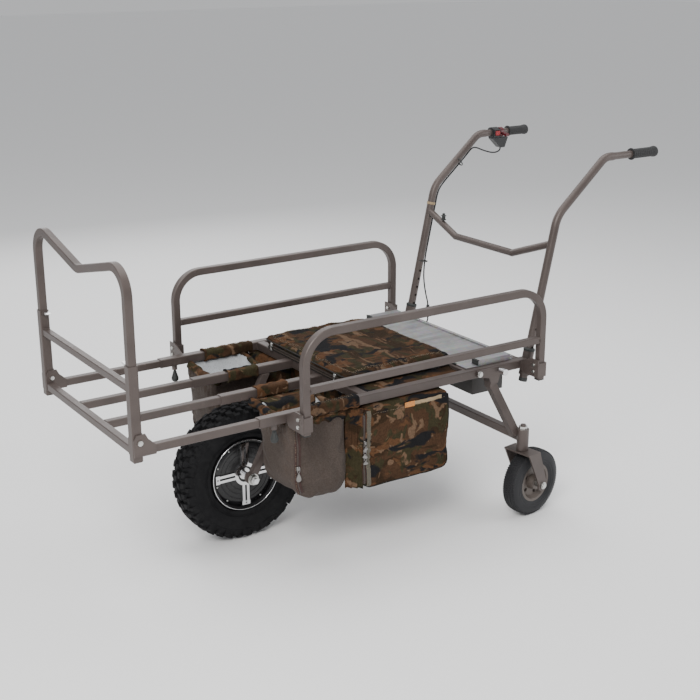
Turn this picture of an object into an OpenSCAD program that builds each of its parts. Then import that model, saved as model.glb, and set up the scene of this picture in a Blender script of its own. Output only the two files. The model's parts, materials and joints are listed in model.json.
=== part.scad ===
// Powered game cart: one driven front wheel, two swivel casters, telescoping load bed,
// folding front gate, lift-out side guards, hung saddle bags and a height-adjustable handle.
// The origin is on the ground under the middle of the cart, and the gate end faces -X.

/* [Frame] */
// Overall length from the gate's front face to the ends of the grips
cart_len = 1778; // [1770:1:1786]
// Height of the centreline of the bed rails above the ground
rail_z = 466; // [464:1:468]
// Centre of each outer rail from the cart's middle plane
rail_y = 300; // [298:1:302]
// Centre of each inner rail from the cart's middle plane
inner_y = 85; // [82:1:88]
// Outer width of the square rail tube
rail_w = 26; // [26:0.5:27]
// Wall of the square rail tube
rail_wall = 2; // [1.5:0.1:2.1]
// Width of the square bars that slide inside the rails
bar_w = 21.6; // [20:0.1:21.6]

/* [Front wheel] */
// Outer radius of the front tyre
wheel_r = 203; // [198:1:204]
// Width of the front tyre
wheel_w = 96; // [86:1:100]
// Radius of the rim's edge
rim_r = 108; // [102:1:112]
// Radius of the fixed motor axle
axle_r = 7.5; // [7:0.1:8]
// Centre of each fork leg from the middle plane
fork_y = 74; // [70:1:76]

/* [Front gate] */
// Height of the top of the gate's lower posts
gate_sleeve_z = 690; // [670:1:700]
// Height of the gate's middle bar
gate_mid_z = 628; // [600:1:650]
// Height at which the lines of the hoop's sides and top meet
hoop_top_z = 941; // [910:1:960]
// Height of the hoop's bar at its dipped middle
hoop_dip_z = 870; // [850:1:890]
// Travel of the bed extension
extension_travel = 290; // [250:5:290]

/* [Side guards] */
// Plane of each side guard from the middle plane
guard_y = 378; // [376:1:384]
// Width of the square guard tube
guard_w = 22; // [20:0.5:22]
// Height of the guard's top bar
guard_top_z = 709; // [680:1:730]
// Height of the guard's middle bar
guard_mid_z = 558; // [540:1:580]
// Bend radius of the guard's upper corners
guard_bend = 85; // [60:1:95]

/* [Handles] */
// Radius of the handle tube
handle_r = 12.5; // [12.4:0.1:12.5]
// Radius of the thinner tube end that takes the grips
bar_end_r = 11; // [10.5:0.1:11]
// Height of the grips
grip_z = 1056; // [1040:1:1070]
// Spacing of the height-adjusting holes along the handle leg
hole_pitch = 28; // [26:1:30]
// Number of height-adjusting holes in each leg
hole_count = 7; // [5:1:7]

/* [Rear legs and casters] */
// Radius of the caster tyres
caster_r = 104; // [100:1:104]
// Width of the caster tyres
caster_w = 54; // [44:1:58]
// Swivel axis of each caster from the middle plane
head_y = 370; // [366:1:374]
// Distance of the caster's axle behind its swivel axis
trail = 42; // [36:1:46]
// Angle that each caster is turned inwards at rest
caster_turn = 8; // [0:1:12]

/* [Bags and battery] */
// Height of the padded deck cover's top
cover_top_z = 520; // [505:1:525]
// Width of the battery tray along the cart's width
tray_w = 500; // [440:5:520]
// Depth of the battery tray below the deck plate
tray_depth = 104; // [90:1:110]

/* [Hidden] */
$fn = 48;
half_len = cart_len / 2;
rail_in = rail_w - 2 * rail_wall;
rail_top = rail_z + rail_w / 2;
rail_bottom = rail_z - rail_w / 2;
eps = 0.5;                       // how far a cutting shape runs past the face it cuts

// stations along the cart
post_w = rail_w;
gate_x = -half_len + post_w / 2;
axle_x = -430;
rail_front_x = -530;
rail_end_x = 378;
front_tube_x = -187;
mid_tube_x = 178;
rear_tube_x = 365;
guard_front_x = -430;
guard_rear_x = 382;
bar_tail_x = -370;               // rear ends of the sliding bars, inside the rails

// gate hinge
hinge_plate_t = 4;
hinge_gap = 0.2;
hinge_x = gate_x + 5;
hinge_z = rail_z + 25;
hinge_block_x0 = gate_x + post_w / 2 + 1;
hinge_block_x1 = gate_x + 48;
hinge_bolt_r = 4;
gate_foot_z = 440;
hoop_foot_z = 640;
clip_y = rail_y - post_w / 2 - 5.5;
clip_z = gate_sleeve_z - 6;
clip_ear = 9;
clip_pin_r = 1.6;
hoop_bend = 65;

// slide-lock plungers under the outer rails
plunger_x = -480;
plunger_r = 4;
plunger_boss_z = 438;

// guards
guard_foot_z = 437;
socket_w = 30;
socket_z0 = 446;
socket_z1 = 488;
socket_play = 0.2;
socket_plate_t = 4;
socket_web = 18;

// fork
fork_w = 20;
fork_top_x = -295;
fork_eye_r = 18;
axle_half = 104;
nut_t = 11;

// motor hub
hub_r = 100;
hub_half = 34;
hub_wall = 6;
bearing_r = 17.5;
bearing_w = 11;
stator_r = 84;
spoke_t = 5;
spoke_ring_r = 34;
spoke_ring_in_r = 24;
spoke_bar_w = 8;
spoke_bar_gap = 6;               // slot between a spoke's two bars
spoke_bar_r0 = 28;
spoke_foot_r0 = 84;
spoke_end_r = 96;
spoke_foot_w = 26;

// handles
handle_foot = [388, 408];
handle_bend1 = [497, 898];
handle_bend2 = [678, grip_z];
handle_bend1_r = 90;
handle_bend2_r = 50;
handle_wall = 1.8;
bar_end_x = 708;
bar_taper = 12;
lean = atan2(handle_bend1[0] - handle_foot[0], handle_bend1[1] - handle_foot[1]);
function leg_x(z) = handle_foot[0] + (z - handle_foot[1]) * tan(lean);
pin_z = 455;
pin_r = 4;
clamp_r = 17;
clamp_play = 0.08;
clamp_z0 = 425;
clamp_z1 = 497;
v_end_z = 817;
v_mid_z = 760;
v_mid_y = 140;
v_r = 11;
grip_r = 14.5;
grip_flange_r = 18;
left_grip_len = 104;
right_grip_len = 84;

// throttle on the right handle
throttle_x0 = 732;
throttle_x1 = 758;
lever_x0 = 766;
lever_x1 = 780;
throttle_r = 18;
switch_x = 746;
lever_rest = 10;
cable_r = 2.5;
cable_points = [
    [777, 300, 1004], [777, 300, 997], [770, 300, 991], [756, 299, 988], [738, 299, 989],
    [715, 298, 995], [692, 298, 1003], [670, 298, 1011], [651, 298, 1010], [626, 298, 988],
    [601, 298, 966], [576, 298, 944], [554, 298, 925], [532, 298, 905], [516, 298, 886],
    [508, 298, 866], [503, 298, 845], [492, 298, 796], [481, 298, 746], [470, 298, 696],
    [462, 297, 661], [457, 296, 630], [455, 295, 596], [458, 294, 562], [464, 293, 530],
    [470, 293, 508], [473, 293, 492]
];
lead_points = [
    [473, 293, 450], [472, 292, 442], [467, 290, 434], [457, 286, 427], [441, 280, 423],
    [423, 271, 421], [404, 260, 421], [387, 249, 422], [374, 242, 424], [364, 240, 424],
    [352, 240, 424]
];
gland_y = 240;
gland_z = 424;
plug_at = [473, 293, 450.5];
plug_len = 41;
plug_r = 7;
cable_sides = 8;
lap = 0.4;                       // how far a straight piece runs into the bend after it
arc_fit = 0.997;                 // bends are drawn a hair thinner, so that the laps fuse

// rear legs
leg_pivot_x = 204;
leg_pin_x = 277;
leg_pin_r = 5;
leg_bolt_r = 4;
plate_play = 0.5;
leg_plate_t = 4;
strut_w = 25;
strut_top = [262, rail_y, rail_bottom - 1];
strut_knee = [262, rail_y, 420];
strut_end = [322, 350, 262];
head_x = 335;
head_r = 18;
head_z0 = 218;
head_z1 = 284;
leg_tube_z = 257;
stem_r = 8;
fork_plate_t = 5;
fork_half = 50;
fork_plate_l = 50;
caster_axle_r = 6;
caster_hub_r = 60;
head_play = 0.06;

// bags, as the ends, the inner and outer faces and the bottom of each
cover_x0 = -206;
cover_x1 = 166;
cover_w = 466;
cover_corner = 26;
outer_wrap_x = [-384, -218];
inner_wrap_x = [-418, -318];
cloth_gap = 0.5;                 // the cover lies this far above the rails
deck_bag_x = [-165, 160];
deck_bag_w = 352;
deck_bag_z = 362;
bag_gap = 1.2;                   // the middle bag hangs this far under the tubes
bag_drop = 4;                    // the bags' tops hang this far under the rails
front_bag_x = [-440, -250];
front_bag_y = [130, 316];
front_bag_z = 206;
front_bag_corner = 44;
rear_bag_x = [-214, 86];
rear_bag_y = [184, 340];
rear_bag_z = 206;
rear_bag_corner = 26;

// deck
deck_x0 = 174;
deck_x1 = 350;
deck_t = 2.5;
deck_z = rail_top + 1;
deck_half = 292;
deck_pin_r = 2;
deck_hinge_x = deck_x1 + 3;
deck_hinge_z = deck_z + 4.5;
tray_x0 = 234;
tray_x1 = 350;
tray_t = 1.5;
tray_bottom_z = deck_z - tray_depth;

// battery and controller on the tray's floor
battery_at = [240, -242];
battery_size = [104, 290, 72];
strap_ys = [-190, -20];
strap_wide = 14;
strap_t = 6;
terminal_xs = [268, 316];
terminal_y = 0;
terminal_h = 8;
terminal_r = 6;
controller_at = [248, 74];
controller_size = [88, 140, 40];
fin_gaps = 9;
fin_pitch = 9.4;
fin_t = 4;
fin_h = 10;

frame_colour = "#6e655f";
steel_colour = "#8d8f90";
chrome_colour = "#d5d7d8";
black_colour = "#1c1c1e";
tyre_colour = "#26272a";
camo_colour = "#5a4a30";
pocket_colour = "#6b6259";
battery_colour = "#2b3238";
terminal_colour = "#7a1f1c";
controller_colour = "#9a9c9e";

// ---------- shared shapes ----------

module on_both_sides() {
    children();
    mirror([0, 1, 0]) children();
}

module in_xz(y) {
    translate([0, y, 0]) rotate([90, 0, 0]) children();
}

module in_yz(x) {
    translate([x, 0, 0]) rotate([90, 0, 90]) children();
}

module square_section(w, bevel = 2) {
    h = w / 2;
    k = h - bevel;
    polygon([[h, k], [k, h], [-k, h], [-h, k], [-h, -k], [-k, -h], [k, -h], [h, -k]]);
}

function heading(a, b) = atan2(b[1] - a[1], b[0] - a[0]);
function turn_at(p, i) =
    let (d = heading(p[i], p[i + 1]) - heading(p[i - 1], p[i]))
    d > 180 ? d - 360 : d < -180 ? d + 360 : d;
function trim_at(p, bends, i) =
    i == 0 || i == len(p) - 1 ? 0 : bends[i] * tan(abs(turn_at(p, i)) / 2);

// Sweeps a 2-D section along a flat polyline whose inner corners are true arcs.
module bent_bar(p, bends) {
    for (i = [0:len(p) - 2]) {
        a = heading(p[i], p[i + 1]);
        start = trim_at(p, bends, i);
        run = norm(p[i + 1] - p[i]) - start - trim_at(p, bends, i + 1);
        translate([p[i][0] + start * cos(a), p[i][1] + start * sin(a), 0])
            rotate([90, 0, 90 + a]) translate([0, 0, -lap]) linear_extrude(run + 2 * lap)
                children();
    }
    for (i = [1:1:len(p) - 2]) {
        a = heading(p[i - 1], p[i]);
        t = turn_at(p, i);
        side = t > 0 ? 1 : -1;
        back = trim_at(p, bends, i);
        cx = p[i][0] - back * cos(a) - side * bends[i] * sin(a);
        cy = p[i][1] - back * sin(a) + side * bends[i] * cos(a);
        first = t > 0 ? a - 90 : a + 90 + t;
        translate([cx, cy, 0]) rotate([0, 0, first])
            rotate_extrude(angle = abs(t), $fn = 96) translate([bends[i], 0])
                scale(arc_fit) children();
    }
}

// A straight square tube along X between two stations.
module tube_x(x0, x1, w, inner) {
    translate([x0, 0, 0]) rotate([90, 0, 90]) difference() {
        linear_extrude(x1 - x0) square_section(w);
        translate([0, 0, -eps]) linear_extrude(x1 - x0 + 2 * eps) square_section(inner, 1);
    }
}

// A straight square tube along Y between two stations.
module tube_y(y0, y1, w, inner) {
    translate([0, y1, 0]) rotate([90, 0, 0]) difference() {
        linear_extrude(y1 - y0) square_section(w);
        translate([0, 0, -eps]) linear_extrude(y1 - y0 + 2 * eps) square_section(inner, 1);
    }
}

// A straight square bar from a lower point to a higher one, with two faces kept upright.
module bar_between(low, high, w) {
    d = high - low;
    translate(low) rotate([0, atan2(d[0], d[2]), 0]) rotate([-asin(d[1] / norm(d)), 0, 0])
        translate([-w / 2, -w / 2, 0]) cube([w, w, norm(d)]);
}

// A straight round bar from one point to another.
module rod(a, b, r) {
    d = b - a;
    translate(a) rotate([0, acos(d[2] / norm(d)), atan2(d[1], d[0])]) cylinder(h = norm(d), r = r);
}

// Places a round piece along Y, from y0 to y1, with its centre at x and z.
module along_y(x, z, y0, y1, r) {
    translate([x, y1, z]) rotate([90, 0, 0]) cylinder(h = y1 - y0, r = r);
}

module hex_nut(r, h, bore) {
    difference() {
        cylinder(h = h, r = r, $fn = 6);
        translate([0, 0, -eps]) cylinder(h = h + 2 * eps, r = bore);
    }
}

function unit(v) = v / norm(v);
function path_dir(p, i) =
    i == 0 ? unit(p[1] - p[0]) :
    i == len(p) - 1 ? unit(p[i] - p[i - 1]) : unit(p[i + 1] - p[i - 1]);
function ring_side(p, i) = unit(cross(path_dir(p, i), [0, 1, 0.01]));
function ring_point(p, i, k) =
    let (s = ring_side(p, i), u = cross(path_dir(p, i), s), a = 360 * k / cable_sides)
    p[i] + cable_r * (cos(a) * s + sin(a) * u);

// A thin cord swept along its own route points.
module cord(p) {
    last = (len(p) - 1) * cable_sides;
    rings = [for (i = [0:len(p) - 1]) for (k = [0:cable_sides - 1]) ring_point(p, i, k)];
    walls = [
        for (i = [0:len(p) - 2]) for (k = [0:cable_sides - 1])
        let (a = i * cable_sides, n = (k + 1) % cable_sides)
        [a + k, a + n, a + cable_sides + n, a + cable_sides + k]
    ];
    start_cap = [[for (k = [cable_sides - 1:-1:0]) k]];
    end_cap = [[for (k = [0:cable_sides - 1]) last + k]];
    polyhedron(points = rings, faces = concat(start_cap, walls, end_cap), convexity = 6);
}

// ---------- chassis ----------

module main_rails() {
    color(frame_colour) on_both_sides() difference() {
        union() {
            translate([0, rail_y, rail_z]) tube_x(rail_front_x, rail_end_x, rail_w, rail_in);
            translate([plunger_x, rail_y, plunger_boss_z])
                cylinder(h = rail_bottom - plunger_boss_z, r = 8);
        }
        translate([plunger_x, rail_y, plunger_boss_z - eps])
            cylinder(h = rail_z - plunger_boss_z, r = plunger_r + 0.08);
        along_y(leg_pivot_x, rail_z, rail_y - rail_w, rail_y + rail_w, leg_bolt_r + 0.05);
        along_y(leg_pin_x, rail_z, rail_y, rail_y + rail_w, leg_pin_r + 0.1);
    }
}

module inner_sleeves() {
    color(frame_colour) on_both_sides()
        translate([0, inner_y, rail_z])
            tube_x(rail_front_x, mid_tube_x - rail_w / 2, rail_w, rail_in);
}

module cross_tubes() {
    outer_y0 = inner_y + rail_w / 2;
    outer_y1 = rail_y - rail_w / 2;
    color(frame_colour) {
        translate([front_tube_x, 0, rail_z]) {
            on_both_sides() tube_y(outer_y0, outer_y1, rail_w, rail_in);
            tube_y(rail_w / 2 - inner_y, inner_y - rail_w / 2, rail_w, rail_in);
        }
        for (x = [mid_tube_x, rear_tube_x])
            translate([x, 0, rail_z]) tube_y(-outer_y1, outer_y1, rail_w, rail_in);
    }
}

module fork_legs() {
    foot = [axle_x, fork_y, wheel_r];
    top = [fork_top_x, fork_y, rail_bottom];
    steep = atan2(top[0] - foot[0], top[2] - foot[2]);
    color(steel_colour) on_both_sides() difference() {
        union() {
            bar_between(foot, top + [20 * sin(steep), 0, 20 * cos(steep)], fork_w);
            along_y(axle_x, wheel_r, fork_y - fork_w / 2, fork_y + fork_w / 2, fork_eye_r);
        }
        translate([fork_top_x - 60, 0, rail_bottom]) cube([120, 2 * fork_y, 60]);
        along_y(axle_x, wheel_r, 0, 2 * fork_y, axle_r);
    }
}

module front_axle() {
    color(chrome_colour) along_y(axle_x, wheel_r, -axle_half, axle_half, axle_r);
}

module motor_stator() {
    color("#b06a35") difference() {
        along_y(axle_x, wheel_r, -14, 14, stator_r);
        along_y(axle_x, wheel_r, -15, 15, axle_r);
        for (a = [0:20:340])
            translate([axle_x, 0, wheel_r]) rotate([0, a, 0])
                translate([stator_r - 12, 0, 0]) rotate([90, 0, 0])
                    cylinder(h = 40, r = 4.5, center = true);
    }
}

module axle_nuts() {
    color(chrome_colour) on_both_sides()
        translate([axle_x, fork_y + fork_w / 2, wheel_r]) rotate([-90, 0, 0]) {
            difference() {
                cylinder(h = 2.5, r = 17);
                translate([0, 0, -eps]) cylinder(h = 2.5 + 2 * eps, r = axle_r);
            }
            translate([0, 0, 2.5]) hex_nut(14, nut_t, axle_r);
        }
}

module guard_socket(x) {
    bore = guard_w + 2 * socket_play;
    y0 = rail_y + rail_w / 2;
    face = x - socket_w / 2;
    difference() {
        union() {
            translate([x, guard_y, socket_z0])
                linear_extrude(socket_z1 - socket_z0) square_section(socket_w);
            translate([face, 0, 0]) rotate([90, 0, -90])
                linear_extrude(socket_plate_t)
                    polygon([
                        [-y0, rail_z - 11], [-y0, rail_z + 11], [-guard_y + 22, socket_z1 + 10],
                        [-guard_y - 15, socket_z1 + 10], [-guard_y - 15, socket_z0 - 2],
                        [-y0 - 14, socket_z0 - 2]
                    ]);
            // web that closes the corner between the plate and the rail
            translate([face, y0, rail_z - 11]) cube([socket_web, 4, 22]);
            translate([face, y0, rail_z - 11]) cube([socket_web, guard_y - y0 - 14, 4]);
        }
        translate([x, guard_y, socket_z0 - 10]) linear_extrude(80) square_section(bore, 1);
    }
}

module guard_sockets() {
    color(frame_colour) on_both_sides() {
        guard_socket(guard_front_x);
        guard_socket(guard_rear_x);
    }
}

module bolt_head(r, h) {
    cylinder(h = h * 0.6, r = r);
    translate([0, 0, h * 0.6]) cylinder(h = h * 0.4, r = r * 0.72);
}

module frame_bolts() {
    color(chrome_colour) on_both_sides() {
        for (x = [guard_front_x, guard_rear_x]) for (z = [460, 481])
            translate([x - socket_w / 2 - socket_plate_t, guard_y - 4, z])
                rotate([0, -90, 0]) bolt_head(5.5, 5);
        // leg frame pivots, each a bolt with a head outside and a nut inside
        along_y(leg_pivot_x, rail_z, rail_y - 22, rail_y + 18, leg_bolt_r);
        translate([leg_pivot_x, rail_y + 18, rail_z]) rotate([-90, 0, 0]) bolt_head(9, 8);
        translate([leg_pivot_x, rail_y - 18, rail_z]) rotate([90, 0, 0])
            hex_nut(8, 6, leg_bolt_r);
    }
}

module handle_axis(z) {
    translate([leg_x(z), rail_y, z]) rotate([0, lean, 0]) children();
}

module handle_clamps() {
    length = (clamp_z1 - clamp_z0) / cos(lean);
    color(frame_colour) on_both_sides() difference() {
        union() {
            handle_axis(clamp_z0) cylinder(h = length, r = clamp_r);
            translate([rail_end_x, rail_y - rail_w / 2, rail_bottom])
                cube([12, rail_w, rail_w]);
        }
        handle_axis(clamp_z0 - 20) cylinder(h = length + 40, r = handle_r + clamp_play);
        along_y(leg_x(pin_z), pin_z, rail_y, rail_y + 30, pin_r + 0.1);
    }
}

module battery_tray() {
    h = rail_top - 2 - tray_bottom_z;
    color(frame_colour) difference() {
        union() {
            translate([tray_x0, -tray_w / 2, tray_bottom_z])
                cube([tray_x1 - tray_x0, tray_w, h]);
            // hanging flange that is screwed to the middle cross tube
            translate([mid_tube_x + rail_w / 2, -tray_w / 2, rail_z])
                cube([tray_x0 - mid_tube_x - rail_w / 2 + 1, tray_w, 2]);
        }
        translate([tray_x0 + tray_t, -tray_w / 2 + tray_t, tray_bottom_z + tray_t])
            cube([tray_x1 - tray_x0 - 2 * tray_t, tray_w - 2 * tray_t, h]);
        translate([tray_x1 - 5, gland_y, gland_z]) rotate([0, 90, 0]) cylinder(h = 10, r = 6);
    }
    // rubber gland that the controller lead enters through
    color(black_colour) difference() {
        translate([tray_x1, gland_y, gland_z]) rotate([0, 90, 0]) {
            cylinder(h = 5, r = 9);
            translate([0, 0, -4]) cylinder(h = 15, r = 6);
        }
        translate([tray_x1 - 10, gland_y, gland_z]) rotate([0, 90, 0])
            cylinder(h = 40, r = cable_r + 0.3);
    }
}

module battery_pack() {
    floor_z = tray_bottom_z + tray_t;
    top_z = floor_z + battery_size[2];
    color(battery_colour) difference() {
        translate([battery_at[0], battery_at[1], floor_z]) cube(battery_size);
        // two strap grooves across the lid
        for (y = strap_ys) translate([battery_at[0] - eps, y, top_z - strap_t])
            cube([battery_size[0] + 2 * eps, strap_wide, strap_t + eps]);
    }
    color(terminal_colour) for (x = terminal_xs)
        translate([x, terminal_y, top_z]) cylinder(h = terminal_h, r = terminal_r);
}

module motor_controller() {
    floor_z = tray_bottom_z + tray_t;
    color(controller_colour) difference() {
        translate([controller_at[0], controller_at[1], floor_z]) cube(controller_size);
        // cooling fins
        for (i = [0:fin_gaps - 1])
            translate([controller_at[0] + fin_t + i * fin_pitch, controller_at[1] - eps,
                floor_z + controller_size[2] - fin_h])
                cube([fin_t, controller_size[1] + 2 * eps, fin_h + eps]);
    }
}

module controller_lead() {
    color(black_colour) cord(lead_points);
}

module deck_plate() {
    lip = 14;
    lip_w = 26;
    lip_x0 = deck_x0 + 46;
    lip_x1 = deck_x1 - 8;
    roll_r = 4;
    roll_step = 1.4;
    color(steel_colour) difference() {
        union() {
            translate([deck_x0, -deck_half, deck_z])
                cube([deck_x1 - deck_x0, 2 * deck_half, deck_t]);
            // raised box folds along both sides, over the rails
            on_both_sides() translate([lip_x0, deck_half - lip_w, deck_z])
                cube([lip_x1 - lip_x0, lip_w, lip + deck_t]);
            // rolled rear edge, which turns on the hinge pin, with the square step before it
            along_y(deck_hinge_x, deck_hinge_z, -deck_half + 12, deck_half - 12, roll_r);
            translate([deck_hinge_x - roll_r, -deck_half + 12, deck_z])
                cube([roll_step, 2 * (deck_half - 12), deck_hinge_z - deck_z]);
        }
        along_y(deck_hinge_x, deck_hinge_z, -deck_half, deck_half, deck_pin_r + 0.05);
        on_both_sides() {
            // hollow of the fold, and the relief round the hinge lug
            translate([lip_x0 - eps, deck_half - lip_w + deck_t, deck_z + deck_t])
                cube([lip_x1 - lip_x0 + 2 * eps, lip_w - 2 * deck_t, lip - deck_t]);
            translate([deck_x1 - 1.6, deck_half - 12, deck_z - 1]) cube([6, 13, 6]);
        }
    }
}

module deck_hinge_pin() {
    end = deck_half - 11;
    color(chrome_colour) {
        along_y(deck_hinge_x, deck_hinge_z, -end, end, deck_pin_r);
        on_both_sides() {
            along_y(deck_hinge_x, deck_hinge_z, end, end + 4, 4);
            translate([deck_hinge_x - 3, end, rail_top])
                cube([7, 4, deck_hinge_z - rail_top]);
        }
    }
}

// ---------- bags ----------

module soft_block(size, r) {
    linear_extrude(size[2]) {
        square([size[0] - 2 * r, size[1]], center = true);
        square([size[0], size[1] - 2 * r], center = true);
        for (sx = [-1, 1]) for (sy = [-1, 1])
            translate([sx * (size[0] / 2 - r), sy * (size[1] / 2 - r)]) circle(r = r);
    }
}

module deck_cover() {
    color(camo_colour) translate([(cover_x0 + cover_x1) / 2, 0, rail_top + cloth_gap])
        soft_block([cover_x1 - cover_x0, cover_w, cover_top_z - rail_top - cloth_gap], cover_corner);
    // the bag that it closes, hung under the inner tubes
    color(camo_colour) translate([(deck_bag_x[0] + deck_bag_x[1]) / 2, 0, deck_bag_z])
        soft_block([deck_bag_x[1] - deck_bag_x[0], deck_bag_w, rail_bottom - bag_gap - deck_bag_z],
            cover_corner);
}

module side_pocket(x0, x1, y0, y1, z0, corner) {
    z1 = rail_bottom - bag_drop;
    // outline in the XZ plane with rounded lower corners, pushed through the pocket's depth
    in_xz(y1) linear_extrude(y1 - y0) {
        translate([x0, z0 + corner]) square([x1 - x0, z1 - z0 - corner]);
        translate([x0 + corner, z0]) square([x1 - x0 - 2 * corner, corner]);
        for (x = [x0 + corner, x1 - corner]) translate([x, z0 + corner]) circle(r = corner);
    }
}

module pockets() {
    color(pocket_colour)
        side_pocket(front_bag_x[0], front_bag_x[1], front_bag_y[0], front_bag_y[1],
            front_bag_z, front_bag_corner);
    color(camo_colour)
        side_pocket(rear_bag_x[0], rear_bag_x[1], rear_bag_y[0], rear_bag_y[1],
            rear_bag_z, rear_bag_corner);
}

module left_pockets() {
    mirror([0, 1, 0]) pockets();
}

module right_pockets() {
    pockets();
}

module rail_wrap(y, x0, x1) {
    outer = rail_w + 5;
    translate([0, y, rail_z]) tube_x(x0, x1, outer, rail_w + 0.2);
}

module rail_wraps() {
    color(camo_colour) on_both_sides() {
        rail_wrap(rail_y, outer_wrap_x[0], outer_wrap_x[1]);
        rail_wrap(inner_y, inner_wrap_x[0], inner_wrap_x[1]);
    }
}

// ---------- front wheel ----------

module front_tyre() {
    half = wheel_w / 2;
    color(tyre_colour) translate([axle_x, 0, wheel_r]) rotate([90, 0, 0])
        rotate_extrude($fn = 96) polygon([
            [rim_r, -half + 12], [rim_r + 14, -half + 6], [rim_r + 48, -half],
            [wheel_r - 18, -half + 3], [wheel_r - 5, -half + 14], [wheel_r, -half + 30],
            [wheel_r, half - 30], [wheel_r - 5, half - 14], [wheel_r - 18, half - 3],
            [rim_r + 48, half], [rim_r + 14, half - 6], [rim_r, half - 12]
        ]);
}

module front_rim() {
    half = wheel_w / 2;
    color(black_colour) translate([axle_x, 0, wheel_r]) rotate([90, 0, 0])
        rotate_extrude($fn = 96) polygon([
            [hub_r, -half + 8], [rim_r - 1, -half + 4], [rim_r, -half + 12],
            [rim_r, half - 12], [rim_r - 1, half - 4], [hub_r, half - 8]
        ]);
}

module motor_hub() {
    color(black_colour) translate([axle_x, 0, wheel_r]) rotate([90, 0, 0])
        rotate_extrude($fn = 96) polygon([
            [bearing_r, hub_half - bearing_w], [bearing_r, hub_half], [hub_r - 14, hub_half],
            [hub_r, hub_half - 6], [hub_r, -hub_half + 6], [hub_r - 14, -hub_half],
            [bearing_r, -hub_half], [bearing_r, -hub_half + bearing_w],
            [bearing_r + 8, -hub_half + bearing_w], [bearing_r + 12, -hub_half + hub_wall],
            [hub_r - hub_wall - 6, -hub_half + hub_wall], [hub_r - hub_wall, 0],
            [hub_r - hub_wall - 6, hub_half - hub_wall],
            [bearing_r + 12, hub_half - hub_wall], [bearing_r + 8, hub_half - bearing_w]
        ]);
}

module spoke_star() {
    difference() {
        union() {
            difference() {
                cylinder(h = spoke_t, r = spoke_ring_r);
                translate([0, 0, -eps]) cylinder(h = spoke_t + 1, r = spoke_ring_in_r);
            }
            for (a = [0:90:270]) rotate([0, 0, a]) {
                for (y = [-spoke_bar_gap / 2 - spoke_bar_w, spoke_bar_gap / 2])
                    translate([spoke_bar_r0, y, 0])
                        cube([spoke_foot_r0 + 2 * eps - spoke_bar_r0, spoke_bar_w, spoke_t]);
                translate([spoke_foot_r0, -spoke_foot_w / 2, 0])
                    cube([spoke_end_r - spoke_foot_r0, spoke_foot_w, spoke_t]);
            }
        }
        for (a = [0:90:270]) rotate([0, 0, a])
            translate([(spoke_foot_r0 + spoke_end_r) / 2, 0, -eps])
                cylinder(h = spoke_t + 1, r = 2.5);
    }
}

module wheel_spokes() {
    color(chrome_colour) on_both_sides()
        translate([axle_x, hub_half, wheel_r]) rotate([-90, 0, 0]) spoke_star();
}

module wheel_bearings() {
    color(chrome_colour) on_both_sides()
        translate([axle_x, hub_half, wheel_r]) rotate([90, 0, 0]) difference() {
            cylinder(h = bearing_w, r = bearing_r);
            translate([0, 0, -eps]) cylinder(h = bearing_w + 1, r = axle_r + 0.05);
        }
}

// ---------- bed extension ----------

module slide_bars() {
    color(frame_colour) on_both_sides() {
        difference() {
            translate([0, rail_y, rail_z])
                tube_x(hinge_block_x1, bar_tail_x, bar_w, bar_w - 3);
            translate([plunger_x, rail_y, rail_z - bar_w])
                cylinder(h = bar_w, r = plunger_r + 0.3);
        }
        translate([0, inner_y, rail_z])
            tube_x(gate_x + bar_w / 2, bar_tail_x, bar_w, bar_w - 3);
    }
}

module front_cross_bar() {
    reach = rail_y - post_w / 2 - hinge_gap - hinge_plate_t;
    color(frame_colour) translate([gate_x, 0, rail_z]) tube_y(-reach, reach, bar_w, bar_w - 3);
}

module gate_hinge_plates() {
    inner = rail_y - post_w / 2 - hinge_gap - hinge_plate_t;
    outer = rail_y + post_w / 2 + hinge_gap;
    color(frame_colour) on_both_sides() difference() {
        union() {
            for (y = [inner, outer]) in_xz(y + hinge_plate_t) linear_extrude(hinge_plate_t)
                polygon([
                    [gate_x - 12, rail_bottom + 2], [gate_x - 12, hinge_z + 8],
                    [gate_x - 4, hinge_z + 22], [gate_x + 20, hinge_z + 22],
                    [gate_x + 28, hinge_z + 6], [hinge_block_x1, rail_top],
                    [hinge_block_x1, rail_bottom + 2]
                ]);
            translate([hinge_block_x0, inner, rail_bottom + 2])
                cube([hinge_block_x1 - hinge_block_x0, outer - inner, rail_w - 2]);
        }
        along_y(hinge_x, hinge_z, rail_y - 40, rail_y + 40, hinge_bolt_r);
    }
}

module gate_hinge_bolts() {
    reach = post_w / 2 + hinge_gap + hinge_plate_t;
    color(chrome_colour) on_both_sides() {
        along_y(hinge_x, hinge_z, rail_y - reach, rail_y + reach, hinge_bolt_r);
        translate([hinge_x, rail_y + reach, hinge_z]) rotate([-90, 0, 0]) bolt_head(7, 5);
        translate([hinge_x, rail_y - reach, hinge_z]) rotate([90, 0, 0])
            cylinder(h = 5, r = 6.5, $fn = 6);
    }
}

// ---------- gate ----------

module gate_posts() {
    color(frame_colour) on_both_sides() difference() {
        union() {
            translate([gate_x, rail_y, gate_foot_z])
                linear_extrude(gate_sleeve_z - gate_foot_z) square_section(post_w);
            // ears and pin of the clamping lever on the post's inner face
            for (x = [gate_x - 8, gate_x + 6])
                translate([x, clip_y - 3, clip_z - 4]) cube([2, clip_ear, 8]);
            translate([gate_x - 8, clip_y, clip_z]) rotate([0, 90, 0])
                cylinder(h = 16, r = clip_pin_r);
        }
        translate([gate_x, rail_y, gate_foot_z + 6])
            linear_extrude(gate_sleeve_z - gate_foot_z) square_section(rail_in, 1);
        along_y(hinge_x, hinge_z, rail_y - 20, rail_y + 20, hinge_bolt_r + 0.05);
    }
}

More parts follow.
